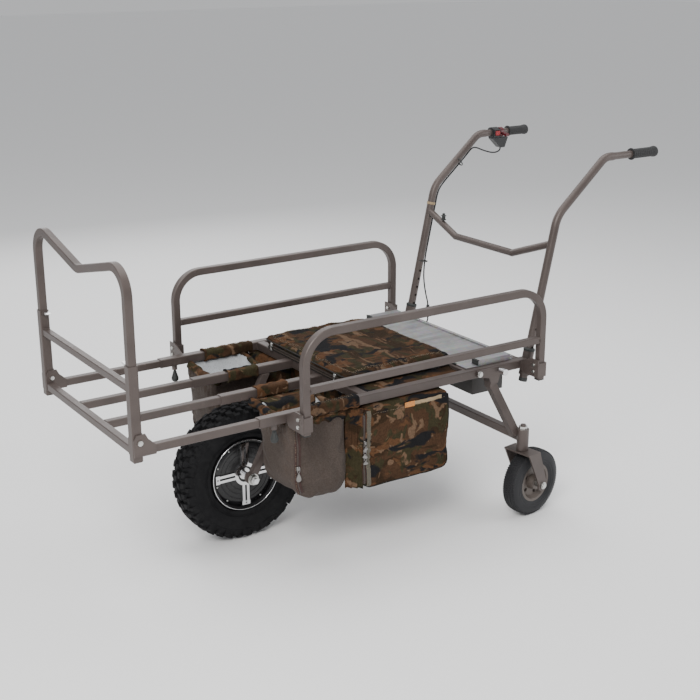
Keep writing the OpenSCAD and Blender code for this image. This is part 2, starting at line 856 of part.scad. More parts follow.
module gate_mid_bar() {
    reach = rail_y - post_w / 2;
    color(frame_colour) translate([gate_x, 0, gate_mid_z]) tube_y(-reach, reach, 20, 17);
}

module gate_clip() {
    color(chrome_colour) difference() {
        translate([gate_x - 5.8, clip_y, clip_z]) rotate([0, 90, 0]) linear_extrude(11.6) {
            circle(r = 4.4);
            polygon([[-4.4, 0], [-6.5, -24], [-3.5, -28], [-1, -24], [4.4, 0]]);
        }
        translate([gate_x - 10, clip_y, clip_z]) rotate([0, 90, 0])
            cylinder(h = 20, r = clip_pin_r + 0.05);
    }
}

module left_gate_clip() {
    mirror([0, 1, 0]) gate_clip();
}

module right_gate_clip() {
    gate_clip();
}

module gate_hoop() {
    dip = [
        [-rail_y, hoop_foot_z], [-rail_y, hoop_top_z], [0, hoop_dip_z], [rail_y, hoop_top_z],
        [rail_y, hoop_foot_z]
    ];
    bends = [0, hoop_bend, 60, hoop_bend, 0];
    color(frame_colour) in_yz(gate_x) difference() {
        bent_bar(dip, bends) square_section(bar_w);
        bent_bar(dip, bends) square_section(bar_w - 3.2, 1);
    }
}

// ---------- side guards ----------

module guard() {
    outline = [
        [guard_front_x, guard_foot_z], [guard_front_x, guard_top_z],
        [guard_rear_x, guard_top_z], [guard_rear_x, guard_foot_z]
    ];
    bends = [0, guard_bend, guard_bend, 0];
    color(frame_colour) difference() {
        union() {
            in_xz(guard_y) bent_bar(outline, bends) square_section(guard_w);
            translate([0, guard_y, guard_mid_z])
                tube_x(guard_front_x + guard_w / 2 - 1, guard_rear_x - guard_w / 2 + 1, 20, 17);
        }
        in_xz(guard_y) bent_bar(outline, bends) square_section(guard_w - 3, 1);
    }
}

module left_guard() {
    mirror([0, 1, 0]) guard();
}

module right_guard() {
    guard();
}

// ---------- handles ----------

module handle_outline(shrink) {
    route = [handle_foot, handle_bend1, handle_bend2, [bar_end_x, grip_z]];
    bends = [0, handle_bend1_r, handle_bend2_r, 0];
    tip_x = half_len - 3;
    in_xz(rail_y) {
        bent_bar(route, bends) circle(r = handle_r - shrink);
        translate([bar_end_x, grip_z, 0]) rotate([0, 90, 0]) {
            cylinder(h = bar_taper, r1 = handle_r - shrink, r2 = bar_end_r - shrink);
            translate([0, 0, bar_taper])
                cylinder(h = tip_x - bar_end_x - bar_taper, r = bar_end_r - shrink);
        }
    }
}

module handle_tubes() {
    color(frame_colour) on_both_sides() difference() {
        handle_outline(0);
        handle_outline(handle_wall);
        for (i = [0:hole_count - 1]) {
            z = pin_z + i * hole_pitch * cos(lean);
            along_y(leg_x(z), z, rail_y - 20, rail_y + 20, pin_r + 0.1);
        }
    }
}

module handle_crossbar() {
    corner = [leg_x(v_mid_z), v_mid_y, v_mid_z];
    end = [leg_x(v_end_z), rail_y, v_end_z];
    color(frame_colour) difference() {
        union() {
            along_y(corner[0], corner[2], -v_mid_y, v_mid_y, v_r);
            on_both_sides() {
                translate(corner) sphere(r = v_r + 0.3);
                rod(corner, end, v_r);
            }
        }
        on_both_sides() handle_axis(v_mid_z - 60) cylinder(h = 240, r = handle_r + 0.03);
    }
}

module grip(length) {
    x0 = half_len - length;
    translate([x0, rail_y, grip_z]) rotate([0, 90, 0]) difference() {
        union() {
            cylinder(h = length, r = grip_r);
            cylinder(h = 4, r = grip_flange_r);
            translate([0, 0, length - 6]) cylinder(h = 6, r = grip_r + 1.2);
        }
        translate([0, 0, -eps]) cylinder(h = length - 3 + eps, r = bar_end_r);
    }
}

module handle_grips() {
    color(black_colour) {
        mirror([0, 1, 0]) grip(left_grip_len);
        grip(right_grip_len);
    }
}

module throttle_housing() {
    color(black_colour) difference() {
        union() {
            translate([throttle_x0, rail_y, grip_z]) rotate([0, 90, 0])
                cylinder(h = throttle_x1 - throttle_x0, r = throttle_r);
            // hanging gear case with the cable outlet at its lowest point
            in_xz(rail_y + 12) linear_extrude(24) polygon([
                [throttle_x0 + 2, grip_z], [throttle_x1, grip_z], [throttle_x1, grip_z - 18],
                [lever_x1 + 20, grip_z - 18], [lever_x1 + 18, grip_z - 24],
                [lever_x1 + 7, 1004], [lever_x0 + 2, 1004], [throttle_x0 + 2, grip_z - 20]
            ]);
            // bezel of the rocker switch
            translate([switch_x - 13, rail_y - throttle_r - 4, grip_z - 12]) cube([26, 12, 24]);
        }
        translate([throttle_x0 - 1, rail_y, grip_z]) rotate([0, 90, 0])
            cylinder(h = 60, r = bar_end_r);
        translate([switch_x - 10, rail_y - throttle_r - 10, grip_z - 9]) cube([20, 14, 18]);
    }
}

module throttle_lever() {
    color("#4a1015") translate([lever_x0, rail_y, grip_z]) difference() {
        union() {
            rotate([0, 90, 0]) cylinder(h = lever_x1 - lever_x0, r = 16);
            rotate([lever_rest, 0, 0]) translate([0, -38, -4])
                cube([lever_x1 - lever_x0, 26, 8]);
            rotate([lever_rest, 0, 0]) translate([0, -38, 0]) rotate([0, 90, 0])
                cylinder(h = lever_x1 - lever_x0, r = 5);
        }
        translate([-1, 0, 0]) rotate([0, 90, 0]) cylinder(h = 30, r = bar_end_r + 0.08);
    }
}

module direction_switch() {
    color("#7d1116") translate([switch_x - 9, rail_y - throttle_r + 1, grip_z]) {
        translate([0, -7, -7.5]) cube([18, 7, 15]);
        rotate([0, 90, 0]) cylinder(h = 18, r = 2.5);
    }
}

module throttle_cable() {
    color(black_colour) cord(cable_points);
}

module throttle_plug() {
    color(black_colour) translate(plug_at) {
        cylinder(h = plug_len, r = plug_r - 1.5);
        translate([0, 0, 6]) cylinder(h = 12, r = plug_r);
        translate([0, 0, plug_len - 16]) cylinder(h = 10, r = plug_r);
    }
}

// ---------- rear legs ----------

module leg_cross_tube_outline() {
    translate([head_x, 0, leg_tube_z]) rotate([90, 0, 0])
        translate([0, 0, -head_y + 2]) linear_extrude(2 * head_y - 4) square_section(strut_w);
    on_both_sides() translate([head_x, head_y, head_z0])
        cylinder(h = head_z1 - head_z0, r = head_r);
}

module leg_strut() {
    inner = rail_y - rail_w / 2 - plate_play - leg_plate_t;
    outer = rail_y + rail_w / 2 + plate_play;
    difference() {
        union() {
            for (y = [inner, outer]) in_xz(y + leg_plate_t) linear_extrude(leg_plate_t) {
                translate([leg_pivot_x, rail_z]) circle(r = 11);
                translate([leg_pin_x, rail_z]) circle(r = 11);
                polygon([
                    [leg_pivot_x, rail_z + 11], [leg_pin_x, rail_z + 11],
                    [leg_pin_x + 11, rail_z], [strut_knee[0] + 14, strut_knee[2] + 6],
                    [strut_knee[0] - 12, strut_knee[2] + 6],
                    [strut_knee[0] - 20, rail_bottom - 7], [leg_pivot_x, rail_z - 11]
                ]);
            }
            translate([strut_top[0] - strut_w / 2, inner + leg_plate_t, strut_knee[2] - 8])
                cube([strut_w, outer - inner - leg_plate_t, strut_top[2] - strut_knee[2] + 8]);
            bar_between(strut_end, strut_knee, strut_w);
        }
        along_y(leg_pivot_x, rail_z, rail_y - 30, rail_y + 30, leg_bolt_r + 0.05);
        along_y(leg_pin_x, rail_z, rail_y - 30, rail_y + 30, leg_pin_r + 0.08);
        leg_cross_tube_outline();
        // the slanted bar is trimmed flush under the side plates
        translate([0, rail_y - 30, rail_bottom - 0.8]) difference() {
            translate([strut_knee[0] - 40, 0, 0]) cube([80, 60, 40]);
            translate([strut_knee[0] - 60, -10, -1]) cube([120, 80, 60]);
        }
    }
}

module leg_struts() {
    color(frame_colour) on_both_sides() leg_strut();
}

module leg_cross_tube() {
    color(frame_colour) difference() {
        leg_cross_tube_outline();
        translate([head_x, 0, leg_tube_z]) rotate([90, 0, 0])
            translate([0, 0, -head_y + 25]) linear_extrude(2 * head_y - 50)
                square_section(strut_w - 4, 1);
        on_both_sides() translate([head_x, head_y, head_z0 - eps])
            cylinder(h = head_z1 - head_z0 + 2 * eps, r = stem_r + head_play);
    }
}

// ---------- casters ----------

// The frame of the +Y caster: its origin is under the swivel axis, and +X is its trail.
module at_caster() {
    translate([head_x, head_y, 0]) rotate([0, 0, -caster_turn]) children();
}

module caster_fork() {
    plate_top = head_z0 - 1;
    half = fork_plate_l / 2;
    at_caster() difference() {
        union() {
            translate([-half, -fork_half, plate_top - fork_plate_t])
                cube([fork_plate_l, 2 * fork_half, fork_plate_t]);
            translate([0, 0, plate_top - fork_plate_t])
                cylinder(h = head_z1 - plate_top + fork_plate_t + 14, r = stem_r);
            on_both_sides() in_xz(fork_half) linear_extrude(fork_plate_t) {
                polygon([
                    [-half, plate_top], [half, plate_top], [trail + 17, caster_r + 10],
                    [trail + 17, caster_r - 4], [trail - 17, caster_r - 4],
                    [trail - 18, caster_r + 8]
                ]);
                translate([trail, caster_r - 2]) circle(r = 17.2);
            }
        }
        along_y(trail, caster_r, -fork_half - 5, fork_half + 5, caster_axle_r);
    }
}

module caster_bolts() {
    at_caster() {
        along_y(trail, caster_r, -fork_half - 2, fork_half + 2, caster_axle_r);
        translate([trail, fork_half, caster_r]) rotate([-90, 0, 0]) difference() {
            bolt_head(11, 8);
            translate([0, 0, -eps]) cylinder(h = 2, r = caster_axle_r - 0.5);
        }
        translate([trail, -fork_half, caster_r]) rotate([90, 0, 0])
            hex_nut(11, 8, caster_axle_r - 0.5);
        for (s = [-1, 1]) translate([trail, s * (caster_w / 2 + 8.5), caster_r])
            rotate([90, 0, 0]) difference() {
                cylinder(h = 16, r = 10, center = true);
                cylinder(h = 20, r = caster_axle_r - 0.5, center = true);
            }
        translate([0, 0, head_z1 + 0.3]) hex_nut(13, 9, stem_r);
        translate([0, 0, head_z0 - 0.9]) difference() {
            cylinder(h = 0.8, r = 15);
            translate([0, 0, -eps]) cylinder(h = 2, r = stem_r);
        }
    }
}

module caster_tyre() {
    half = caster_w / 2;
    at_caster() translate([trail, 0, caster_r]) rotate([90, 0, 0])
        rotate_extrude($fn = 96) polygon([
            [caster_hub_r, -half + 6], [caster_hub_r + 20, -half], [caster_r - 10, -half + 2],
            [caster_r - 2, -half + 12], [caster_r, -half + 20], [caster_r, half - 20],
            [caster_r - 2, half - 12], [caster_r - 10, half - 2], [caster_hub_r + 20, half],
            [caster_hub_r, half - 6]
        ]);
}

module caster_hub() {
    half = caster_w / 2;
    at_caster() translate([trail, 0, caster_r]) rotate([90, 0, 0]) difference() {
        rotate_extrude($fn = 96) polygon([
            [caster_axle_r + 0.06, -half], [20, -half], [24, -8], [caster_hub_r - 16, -8],
            [caster_hub_r - 8, -half + 6], [caster_hub_r, -half + 6],
            [caster_hub_r, half - 6], [caster_hub_r - 8, half - 6], [caster_hub_r - 16, 8],
            [24, 8], [20, half], [caster_axle_r + 0.06, half]
        ]);
        for (a = [0:72:288]) rotate([0, 0, a]) translate([35, 0, 0])
            cylinder(h = caster_w, r = 6.5, center = true);
    }
}

module left_caster_fork() {
    color(frame_colour) mirror([0, 1, 0]) caster_fork();
}

module right_caster_fork() {
    color(frame_colour) caster_fork();
}

module left_caster_bolts() {
    color(chrome_colour) mirror([0, 1, 0]) caster_bolts();
}

module right_caster_bolts() {
    color(chrome_colour) caster_bolts();
}

module left_caster_tyre() {
    color(tyre_colour) mirror([0, 1, 0]) caster_tyre();
}

module right_caster_tyre() {
    color(tyre_colour) caster_tyre();
}

module left_caster_hub() {
    color(frame_colour) mirror([0, 1, 0]) caster_hub();
}

module right_caster_hub() {
    color(frame_colour) caster_hub();
}

// ---------- lock pins ----------

module slide_plunger() {
    color(black_colour) translate([plunger_x, rail_y, 0]) {
        translate([0, 0, 420]) cylinder(h = rail_bottom + rail_wall - 420.2, r = plunger_r);
        rotate_extrude() polygon([
            [0, 399], [7, 400.5], [10.5, 405], [11, 411], [8.5, 420], [6, 427], [6, 431],
            [0, 431]
        ]);
    }
}

module left_slide_plunger() {
    mirror([0, 1, 0]) slide_plunger();
}

module right_slide_plunger() {
    slide_plunger();
}

module pull_pin(x, z, nose_y, knob_y, nose_r, knob_r, knob_l) {
    color(chrome_colour) {
        along_y(x, z, nose_y, knob_y + 2, nose_r);
        along_y(x, z, knob_y, knob_y + knob_l * 0.3, knob_r * 0.8);
        along_y(x, z, knob_y + knob_l * 0.3, knob_y + knob_l, knob_r);
    }
}

module leg_pin() {
    pull_pin(leg_pin_x, rail_z, rail_y + rail_w / 2 + 0.2, rail_y + 23.5, leg_pin_r, 9.5, 26);
}

module left_leg_pin() {
    mirror([0, 1, 0]) leg_pin();
}

module right_leg_pin() {
    leg_pin();
}

module handle_pin() {
    pull_pin(leg_x(pin_z), pin_z, rail_y + handle_r + 0.2, rail_y + 23, pin_r, 8, 18);
}

module left_handle_pin() {
    mirror([0, 1, 0]) handle_pin();
}

module right_handle_pin() {
    handle_pin();
}

main_rails();
inner_sleeves();
cross_tubes();
fork_legs();
front_axle();
motor_stator();
axle_nuts();
guard_sockets();
frame_bolts();
handle_clamps();
battery_tray();
battery_pack();
motor_controller();
controller_lead();
deck_cover();
left_pockets();
right_pockets();
rail_wraps();
deck_plate();
deck_hinge_pin();
front_tyre();
front_rim();
motor_hub();
wheel_spokes();
wheel_bearings();
slide_bars();
front_cross_bar();
gate_hinge_plates();
gate_hinge_bolts();
gate_posts();
gate_mid_bar();
left_gate_clip();
right_gate_clip();
gate_hoop();
left_guard();
right_guard();
handle_tubes();
handle_crossbar();
handle_grips();
throttle_housing();
throttle_cable();
throttle_plug();
throttle_lever();
direction_switch();
leg_struts();
leg_cross_tube();
left_caster_fork();
right_caster_fork();
left_caster_bolts();
right_caster_bolts();
left_caster_tyre();
right_caster_tyre();
left_caster_hub();
right_caster_hub();
left_slide_plunger();
right_slide_plunger();
left_leg_pin();
right_leg_pin();
left_handle_pin();
right_handle_pin();
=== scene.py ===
"""Looks for the powered game cart: materials, sewn bags, tyres, small trim, camera and light."""
import json
import math

import bpy
import bmesh
from mathutils import Matrix, Vector, noise
from mathutils.bvhtree import BVHTree


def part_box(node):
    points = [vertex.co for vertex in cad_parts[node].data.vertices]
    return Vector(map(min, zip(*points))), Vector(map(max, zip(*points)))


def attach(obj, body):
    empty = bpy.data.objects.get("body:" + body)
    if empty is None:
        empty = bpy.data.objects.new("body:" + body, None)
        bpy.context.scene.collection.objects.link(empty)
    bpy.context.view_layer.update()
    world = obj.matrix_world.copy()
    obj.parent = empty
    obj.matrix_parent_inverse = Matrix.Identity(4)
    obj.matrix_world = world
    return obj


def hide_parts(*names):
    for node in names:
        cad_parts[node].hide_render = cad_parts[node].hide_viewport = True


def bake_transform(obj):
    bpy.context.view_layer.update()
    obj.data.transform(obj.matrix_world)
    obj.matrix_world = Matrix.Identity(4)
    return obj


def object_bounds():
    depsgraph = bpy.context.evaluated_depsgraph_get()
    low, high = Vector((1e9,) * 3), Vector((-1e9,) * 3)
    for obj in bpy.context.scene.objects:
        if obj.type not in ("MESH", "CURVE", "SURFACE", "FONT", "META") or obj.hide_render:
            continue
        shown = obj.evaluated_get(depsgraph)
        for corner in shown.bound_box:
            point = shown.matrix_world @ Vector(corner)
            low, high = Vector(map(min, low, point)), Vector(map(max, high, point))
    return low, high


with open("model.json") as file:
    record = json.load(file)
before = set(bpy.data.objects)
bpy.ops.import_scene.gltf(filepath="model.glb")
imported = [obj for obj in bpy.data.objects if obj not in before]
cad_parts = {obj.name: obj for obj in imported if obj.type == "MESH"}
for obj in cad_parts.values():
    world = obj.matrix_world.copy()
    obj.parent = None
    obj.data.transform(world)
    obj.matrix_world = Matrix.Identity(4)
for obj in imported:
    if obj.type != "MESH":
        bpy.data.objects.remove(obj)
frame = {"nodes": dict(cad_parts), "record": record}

cad_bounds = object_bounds()
SCENE = bpy.context.scene
NODES = frame["nodes"]
noise.seed_set(7)  # without a seed, noise_vector's offsets come from the clock

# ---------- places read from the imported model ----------

RAIL_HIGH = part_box("main_rails")[1]
RAIL_W = 0.026
RAIL_Y = RAIL_HIGH.y - RAIL_W / 2
RAIL_Z = 0.466
RAIL_TOP = RAIL_Z + RAIL_W / 2
INNER_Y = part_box("inner_sleeves")[1].y - RAIL_W / 2
AXLE = Vector((-0.43, 0.0, 0.203))
LEAN = math.radians(12.54)
HANDLE_AXIS = Vector((math.sin(LEAN), 0, math.cos(LEAN)))
SIDES = {"left": -1, "right": 1}


# ---------- camera, light and floor ----------

def make_camera():
    camera = bpy.data.cameras.new("camera")
    camera.lens = 64.54
    camera.sensor_width = 36
    camera.clip_end = 60
    obj = bpy.data.objects.new("camera", camera)
    turn = Matrix.Rotation(math.radians(-33.43), 4, "Z")
    tilt = Matrix.Rotation(math.radians(90 - 17.78), 4, "X")
    roll = Matrix.Rotation(math.radians(-0.2), 4, "Z")
    obj.matrix_world = Matrix.Translation((-2.025, -3.007, 1.6555)) @ turn @ tilt @ roll
    SCENE.collection.objects.link(obj)
    SCENE.camera = obj


def area_light(name, place, target, size, power, tint=(1, 1, 1)):
    light = bpy.data.lights.new(name, "AREA")
    light.shape = "RECTANGLE"
    light.size, light.size_y = size
    light.energy = power
    light.color = tint
    obj = bpy.data.objects.new(name, light)
    aim = (Vector(target) - Vector(place)).to_track_quat("-Z", "Y")
    obj.matrix_world = Matrix.Translation(place) @ aim.to_matrix().to_4x4()
    SCENE.collection.objects.link(obj)


def make_lights():
    area_light("key", (-2.6, -2.4, 3.2), (0, 0, 0.5), (1.8, 1.8), 150, (1, 0.985, 0.96))
    area_light("top", (0.4, 0.6, 3.6), (0, 0, 0.4), (3.4, 3.0), 85)
    area_light("fill", (3.2, -2.2, 1.8), (0.2, 0, 0.5), (2.0, 2.0), 38, (0.96, 0.98, 1))
    area_light("back", (0.5, 3.6, 2.0), (0, 0, 0.5), (3.0, 2.0), 40)
    world = bpy.data.worlds.new("studio")
    world.use_nodes = True
    world.node_tree.nodes["Background"].inputs["Color"].default_value = (0.93, 0.94, 0.96, 1)
    world.node_tree.nodes["Background"].inputs["Strength"].default_value = 0.60
    SCENE.world = world


def make_floor():
    mesh = bpy.data.meshes.new("floor")
    reach = 30
    corners = [(-reach, -reach, 0), (reach, -reach, 0), (reach, reach, 0), (-reach, reach, 0)]
    mesh.from_pydata(corners, [], [(0, 1, 2, 3)])
    obj = bpy.data.objects.new("floor", mesh)
    SCENE.collection.objects.link(obj)
    m = Nodes("floor_paper")
    m.surface((0.93, 0.93, 0.93), 0.9)
    mesh.materials.append(m.mat)


# ---------- materials ----------

class Nodes:
    """A material and short ways to add nodes to it."""

    def __init__(self, name):
        self.mat = bpy.data.materials.new(name)
        self.mat.use_nodes = True
        self.tree = self.mat.node_tree
        self.bsdf = self.tree.nodes["Principled BSDF"]
        self.place = self.add("ShaderNodeTexCoord").outputs["Object"]

    def add(self, kind, **settings):
        node = self.tree.nodes.new(kind)
        for key, value in settings.items():
            setattr(node, key, value)
        return node

    def put(self, socket, value):
        if isinstance(value, bpy.types.NodeSocket):
            self.tree.links.new(value, socket)
        elif isinstance(value, tuple) and len(value) == 3 and socket.type == "RGBA":
            socket.default_value = (*value, 1)
        else:
            socket.default_value = value

    def mapping(self, scale=(1, 1, 1), turn=(0, 0, 0), shift=(0, 0, 0), at=None):
        node = self.add("ShaderNodeMapping")
        self.put(node.inputs["Vector"], at or self.place)
        node.inputs["Scale"].default_value = scale
        node.inputs["Rotation"].default_value = turn
        node.inputs["Location"].default_value = shift
        return node.outputs["Vector"]

    def noise(self, scale, detail=2.0, distortion=0.0, rough=0.5, at=None):
        node = self.add("ShaderNodeTexNoise")
        self.put(node.inputs["Vector"], at or self.place)
        node.inputs["Scale"].default_value = scale
        node.inputs["Detail"].default_value = detail
        node.inputs["Distortion"].default_value = distortion
        node.inputs["Roughness"].default_value = rough
        return node.outputs["Fac"]

    def wave(self, scale, direction, profile="SIN", distortion=0.0, at=None):
        node = self.add("ShaderNodeTexWave", bands_direction=direction, wave_profile=profile)
        self.put(node.inputs["Vector"], at or self.place)
        node.inputs["Scale"].default_value = scale
        node.inputs["Distortion"].default_value = distortion
        return node.outputs["Fac"]

    def voronoi(self, scale, feature="F1", output="Distance", at=None):
        node = self.add("ShaderNodeTexVoronoi", feature=feature)
        self.put(node.inputs["Vector"], at or self.place)
        node.inputs["Scale"].default_value = scale
        return node.outputs[output]

    def steps(self, value, stops, interpolation="LINEAR"):
        node = self.add("ShaderNodeValToRGB")
        node.color_ramp.interpolation = interpolation
        while len(node.color_ramp.elements) < len(stops):
            node.color_ramp.elements.new(0.5)
        for element, (place, colour) in zip(node.color_ramp.elements, stops):
            element.position = place
            element.color = (*colour, 1) if isinstance(colour, tuple) else (colour,) * 3 + (1,)
        self.put(node.inputs["Fac"], value)
        return node.outputs["Color"]

    def mix(self, share, a, b, blend="MIX"):
        node = self.add("ShaderNodeMix", data_type="RGBA", blend_type=blend)
        for index, value in ((0, share), (6, a), (7, b)):
            self.put(node.inputs[index], value)
        return node.outputs[2]

    def maths(self, operation, a, b=0.0):
        node = self.add("ShaderNodeMath", operation=operation)
        self.put(node.inputs[0], a)
        self.put(node.inputs[1], b)
        return node.outputs[0]

    def patches(self, tone, fac, low, high, share, colour):
        """Lays a second colour over the tone where fac is high, by share at most."""
        shown = self.steps(fac, [(low, 0.0), (high, 1.0)])
        return self.mix(self.maths("MULTIPLY", shown, share), tone, colour)

    def surface(self, colour, rough, metal=0.0, **extra):
        self.put(self.bsdf.inputs["Base Color"], colour)
        self.put(self.bsdf.inputs["Roughness"], rough)
        self.put(self.bsdf.inputs["Metallic"], metal)
        for key, value in extra.items():
            self.put(self.bsdf.inputs[key.replace("_", " ")], value)

    def bump(self, height, strength, distance=0.001, under=None):
        node = self.add("ShaderNodeBump")
        self.put(node.inputs["Height"], height)
        node.inputs["Strength"].default_value = strength
        node.inputs["Distance"].default_value = distance
        if under is not None:
            self.put(node.inputs["Normal"], under)
        self.put(self.bsdf.inputs["Normal"], node.outputs["Normal"])
        return node.outputs["Normal"]


def scaled(colour, by):
    return tuple(min(1, c * by) for c in colour)


def powder_coat(name, dark, light, metal=0.25, rough=(0.34, 0.52)):
    """Satin textured coat: orange peel, faint cloudiness, rubbed and dusty patches."""
    m = Nodes(name)
    cloud = m.noise(9, 4, 0.4)
    colour = m.steps(cloud, [(0.3, dark), (0.7, light)])
    colour = m.patches(colour, m.noise(46, 6, 1.2, 0.7), 0.60, 0.74, 0.30, scaled(light, 1.9))
    colour = m.patches(colour, m.noise(1500, 1), 0.35, 0.70, 0.16, scaled(light, 1.5))
    m.surface(colour, m.steps(cloud, [(0.2, rough[0]), (0.8, rough[1])]), metal)
    peel = m.bump(m.noise(520, 2), 0.22, 0.0004)
    m.bump(m.noise(30, 3), 0.10, 0.001, peel)
    return m.mat


def bare_metal(name, colour, rough, grain_axis="X", spread=0.12):
    """Metal with fine drawn scratches along one axis and slightly uneven polish."""
    m = Nodes(name)
    stretch = {"X": (6, 240, 240), "Y": (240, 6, 240), "Z": (240, 240, 6)}[grain_axis]
    grain = m.noise(1, 4, 0, 0.6, m.mapping(stretch))
    tone = m.steps(m.noise(24, 4), [(0.3, scaled(colour, 0.86)), (0.7, colour)])
    m.surface(tone, m.steps(grain, [(0.25, rough), (0.8, rough + spread)]), 1.0)
    m.bump(grain, 0.10, 0.0004)
    return m.mat


def galvanised(name):
    """Rolled steel plate with a soft spangle, handling streaks and a dull film."""
    m = Nodes(name)
    spangle = m.voronoi(95, "F1", "Color")
    streak = m.noise(1, 5, 0.3, 0.65, m.mapping((5, 60, 60)))
    base = m.steps(streak, [(0.25, (0.25, 0.245, 0.245)), (0.75, (0.43, 0.43, 0.435))])
    base = m.mix(0.10, base, spangle, "OVERLAY")
    base = m.patches(base, m.noise(5, 5, 1.6), 0.46, 0.62, 0.35, (0.20, 0.20, 0.205))
    m.surface(base, m.steps(streak, [(0.2, 0.32), (0.8, 0.50)]), 0.75)
    m.bump(streak, 0.12, 0.0005)
    return m.mat


def moulded(name, colour, rough, grain=420, bump=0.15, dust=0.25, **extra):
    """Plastic or rubber: fine moulded grain, uneven sheen and pale dust in patches."""
    m = Nodes(name)
    cloud = m.noise(22, 4, 0.6)
    dusty = tuple(min(1, c * 1.6 + 0.02) for c in colour)
    tone = m.patches(colour, cloud, 0.42, 0.75, dust, dusty)
    m.surface(tone, m.steps(cloud, [(0.3, rough), (0.7, min(1, rough + 0.14))]), 0.0, **extra)
    m.bump(m.noise(grain, 2), bump, 0.0004)
    return m.mat


def weave_height(m, threads):
    """Plain weave: two crossed thread waves in each of the three face directions."""
    waves = [m.wave(threads, axis) for axis in ("X", "Y", "Z")]
    return m.maths("ADD", m.maths("ADD", waves[0], waves[1]), waves[2])


def woven(name, dark, light, rough=0.86, threads=190, fold=0.5):
    """Plain heathered cloth with thread, slubs and soft creases."""
    m = Nodes(name)
    heather = m.steps(m.noise(260, 3, 0, 0.7), [(0.32, dark), (0.68, light)])
    tone = m.patches(heather, m.noise(7, 4, 1.0), 0.35, 0.7, 0.45, scaled(dark, 0.62))
    m.surface(tone, rough, 0.0, Specular_IOR_Level=0.14, Sheen_Weight=0.05, Sheen_Roughness=0.5)
    thread = m.bump(weave_height(m, threads), 0.28, 0.0005)
    m.bump(m.noise(13, 5, 1.4), fold, 0.006, thread)
    return m.mat


# each layer of the print: turn, shift and scale of its noise, its grain, where it fades in, colour
PRINT_BASE = (0.040, 0.026, 0.016)
PRINT_LAYERS = [
    ((0.4, 0.7, 0.2), (3, 1, 2), (0.5, 1.2, 1.5), 13, (0.44, 0.49), (0.072, 0.042, 0.026)),
    ((0.9, -0.5, 0.8), (7, 4, 1), (1.5, 0.55, 1.1), 15, (0.53, 0.57), (0.046, 0.042, 0.024)),
    ((0.2, 1.1, -0.4), (1, 8, 5), (0.5, 1.5, 1.3), 17, (0.57, 0.60), (0.118, 0.062, 0.034)),
    ((-0.6, 0.8, 1.4), (9, 2, 6), (1.5, 0.45, 1.5), 18, (0.60, 0.63), (0.165, 0.110, 0.074)),
    ((1.2, 0.3, 0.6), (4, 6, 9), (0.5, 1.3, 1.5), 17, (0.555, 0.60), (0.016, 0.017, 0.020)),
]


def camouflage(name, size=1.0, fold=0.45, stretch=(1, 1, 1), shade=0.88):
    """Woodland print: long leaf and bark shapes in brown, olive, rust and tan over near black."""
    m = Nodes(name)
    warp = m.add("ShaderNodeVectorMath", operation="ADD")
    wobble = m.add("ShaderNodeTexNoise")
    m.put(wobble.inputs["Vector"], m.place)
    wobble.inputs["Scale"].default_value = 16 / size
    wobble.inputs["Detail"].default_value = 3
    small = m.add("ShaderNodeVectorMath", operation="SCALE")
    m.put(small.inputs[0], wobble.outputs["Color"])
    small.inputs["Scale"].default_value = 0.045 * size
    m.put(warp.inputs[0], m.mapping(stretch))
    m.put(warp.inputs[1], small.outputs[0])

    warped = warp.outputs[0]
    tone = PRINT_BASE
    for turn, shift, scale, grain, (low, high), colour in PRINT_LAYERS:
        shape = m.noise(grain / size, 3.2, 0.5, 0.45, m.mapping(scale, turn, shift, warped))
        tone = m.mix(m.steps(shape, [(low, 0.0), (high, 1.0)]), tone, colour)
    vein = m.steps(m.noise(95 / size, 4, 2.2, 0.6, warped), [(0.40, 0.62), (0.60, 1.0)])
    tone = m.mix(0.75, tone, vein, "MULTIPLY")
    tone = m.mix(1.0, tone, (shade, shade * 0.93, shade * 0.86), "MULTIPLY")
    m.surface(tone, 0.92, 0.0, Specular_IOR_Level=0.08)
    thread = m.bump(weave_height(m, 210), 0.22, 0.0005)
    m.bump(m.noise(15, 5, 1.2), fold, 0.006, thread)
    return m.mat


def net(name):
    """Pale knitted mesh lining with rows of small holes."""
    m = Nodes(name)
    cell = m.voronoi(330)
    hole = m.steps(cell, [(0.16, 0.0), (0.30, 1.0)])
    tone = m.mix(hole, (0.16, 0.165, 0.17), (0.50, 0.52, 0.54))
    cloud = m.noise(24, 4, 1)
    tone = m.mix(m.maths("MULTIPLY", cloud, 0.35), tone, (0.30, 0.31, 0.32))
    m.surface(tone, 0.8)
    m.bump(m.noise(30, 4, 1), 0.4, 0.004, m.bump(hole, 0.5, 0.0006))
    return m.mat


def tyre_rubber(name):
    m = Nodes(name)
    cloud = m.noise(34, 5, 0.8)
    tone = m.steps(cloud, [(0.3, (0.005, 0.005, 0.006)), (0.8, (0.017, 0.017, 0.018))])
    tone = m.patches(tone, m.noise(160, 4, 1.0, 0.7), 0.56, 0.72, 0.25, (0.048, 0.046, 0.044))
    m.surface(tone, m.steps(cloud, [(0.3, 0.60), (0.8, 0.85)]), 0.0, Specular_IOR_Level=0.15)
    m.bump(m.noise(330, 3), 0.25, 0.0006)
    return m.mat


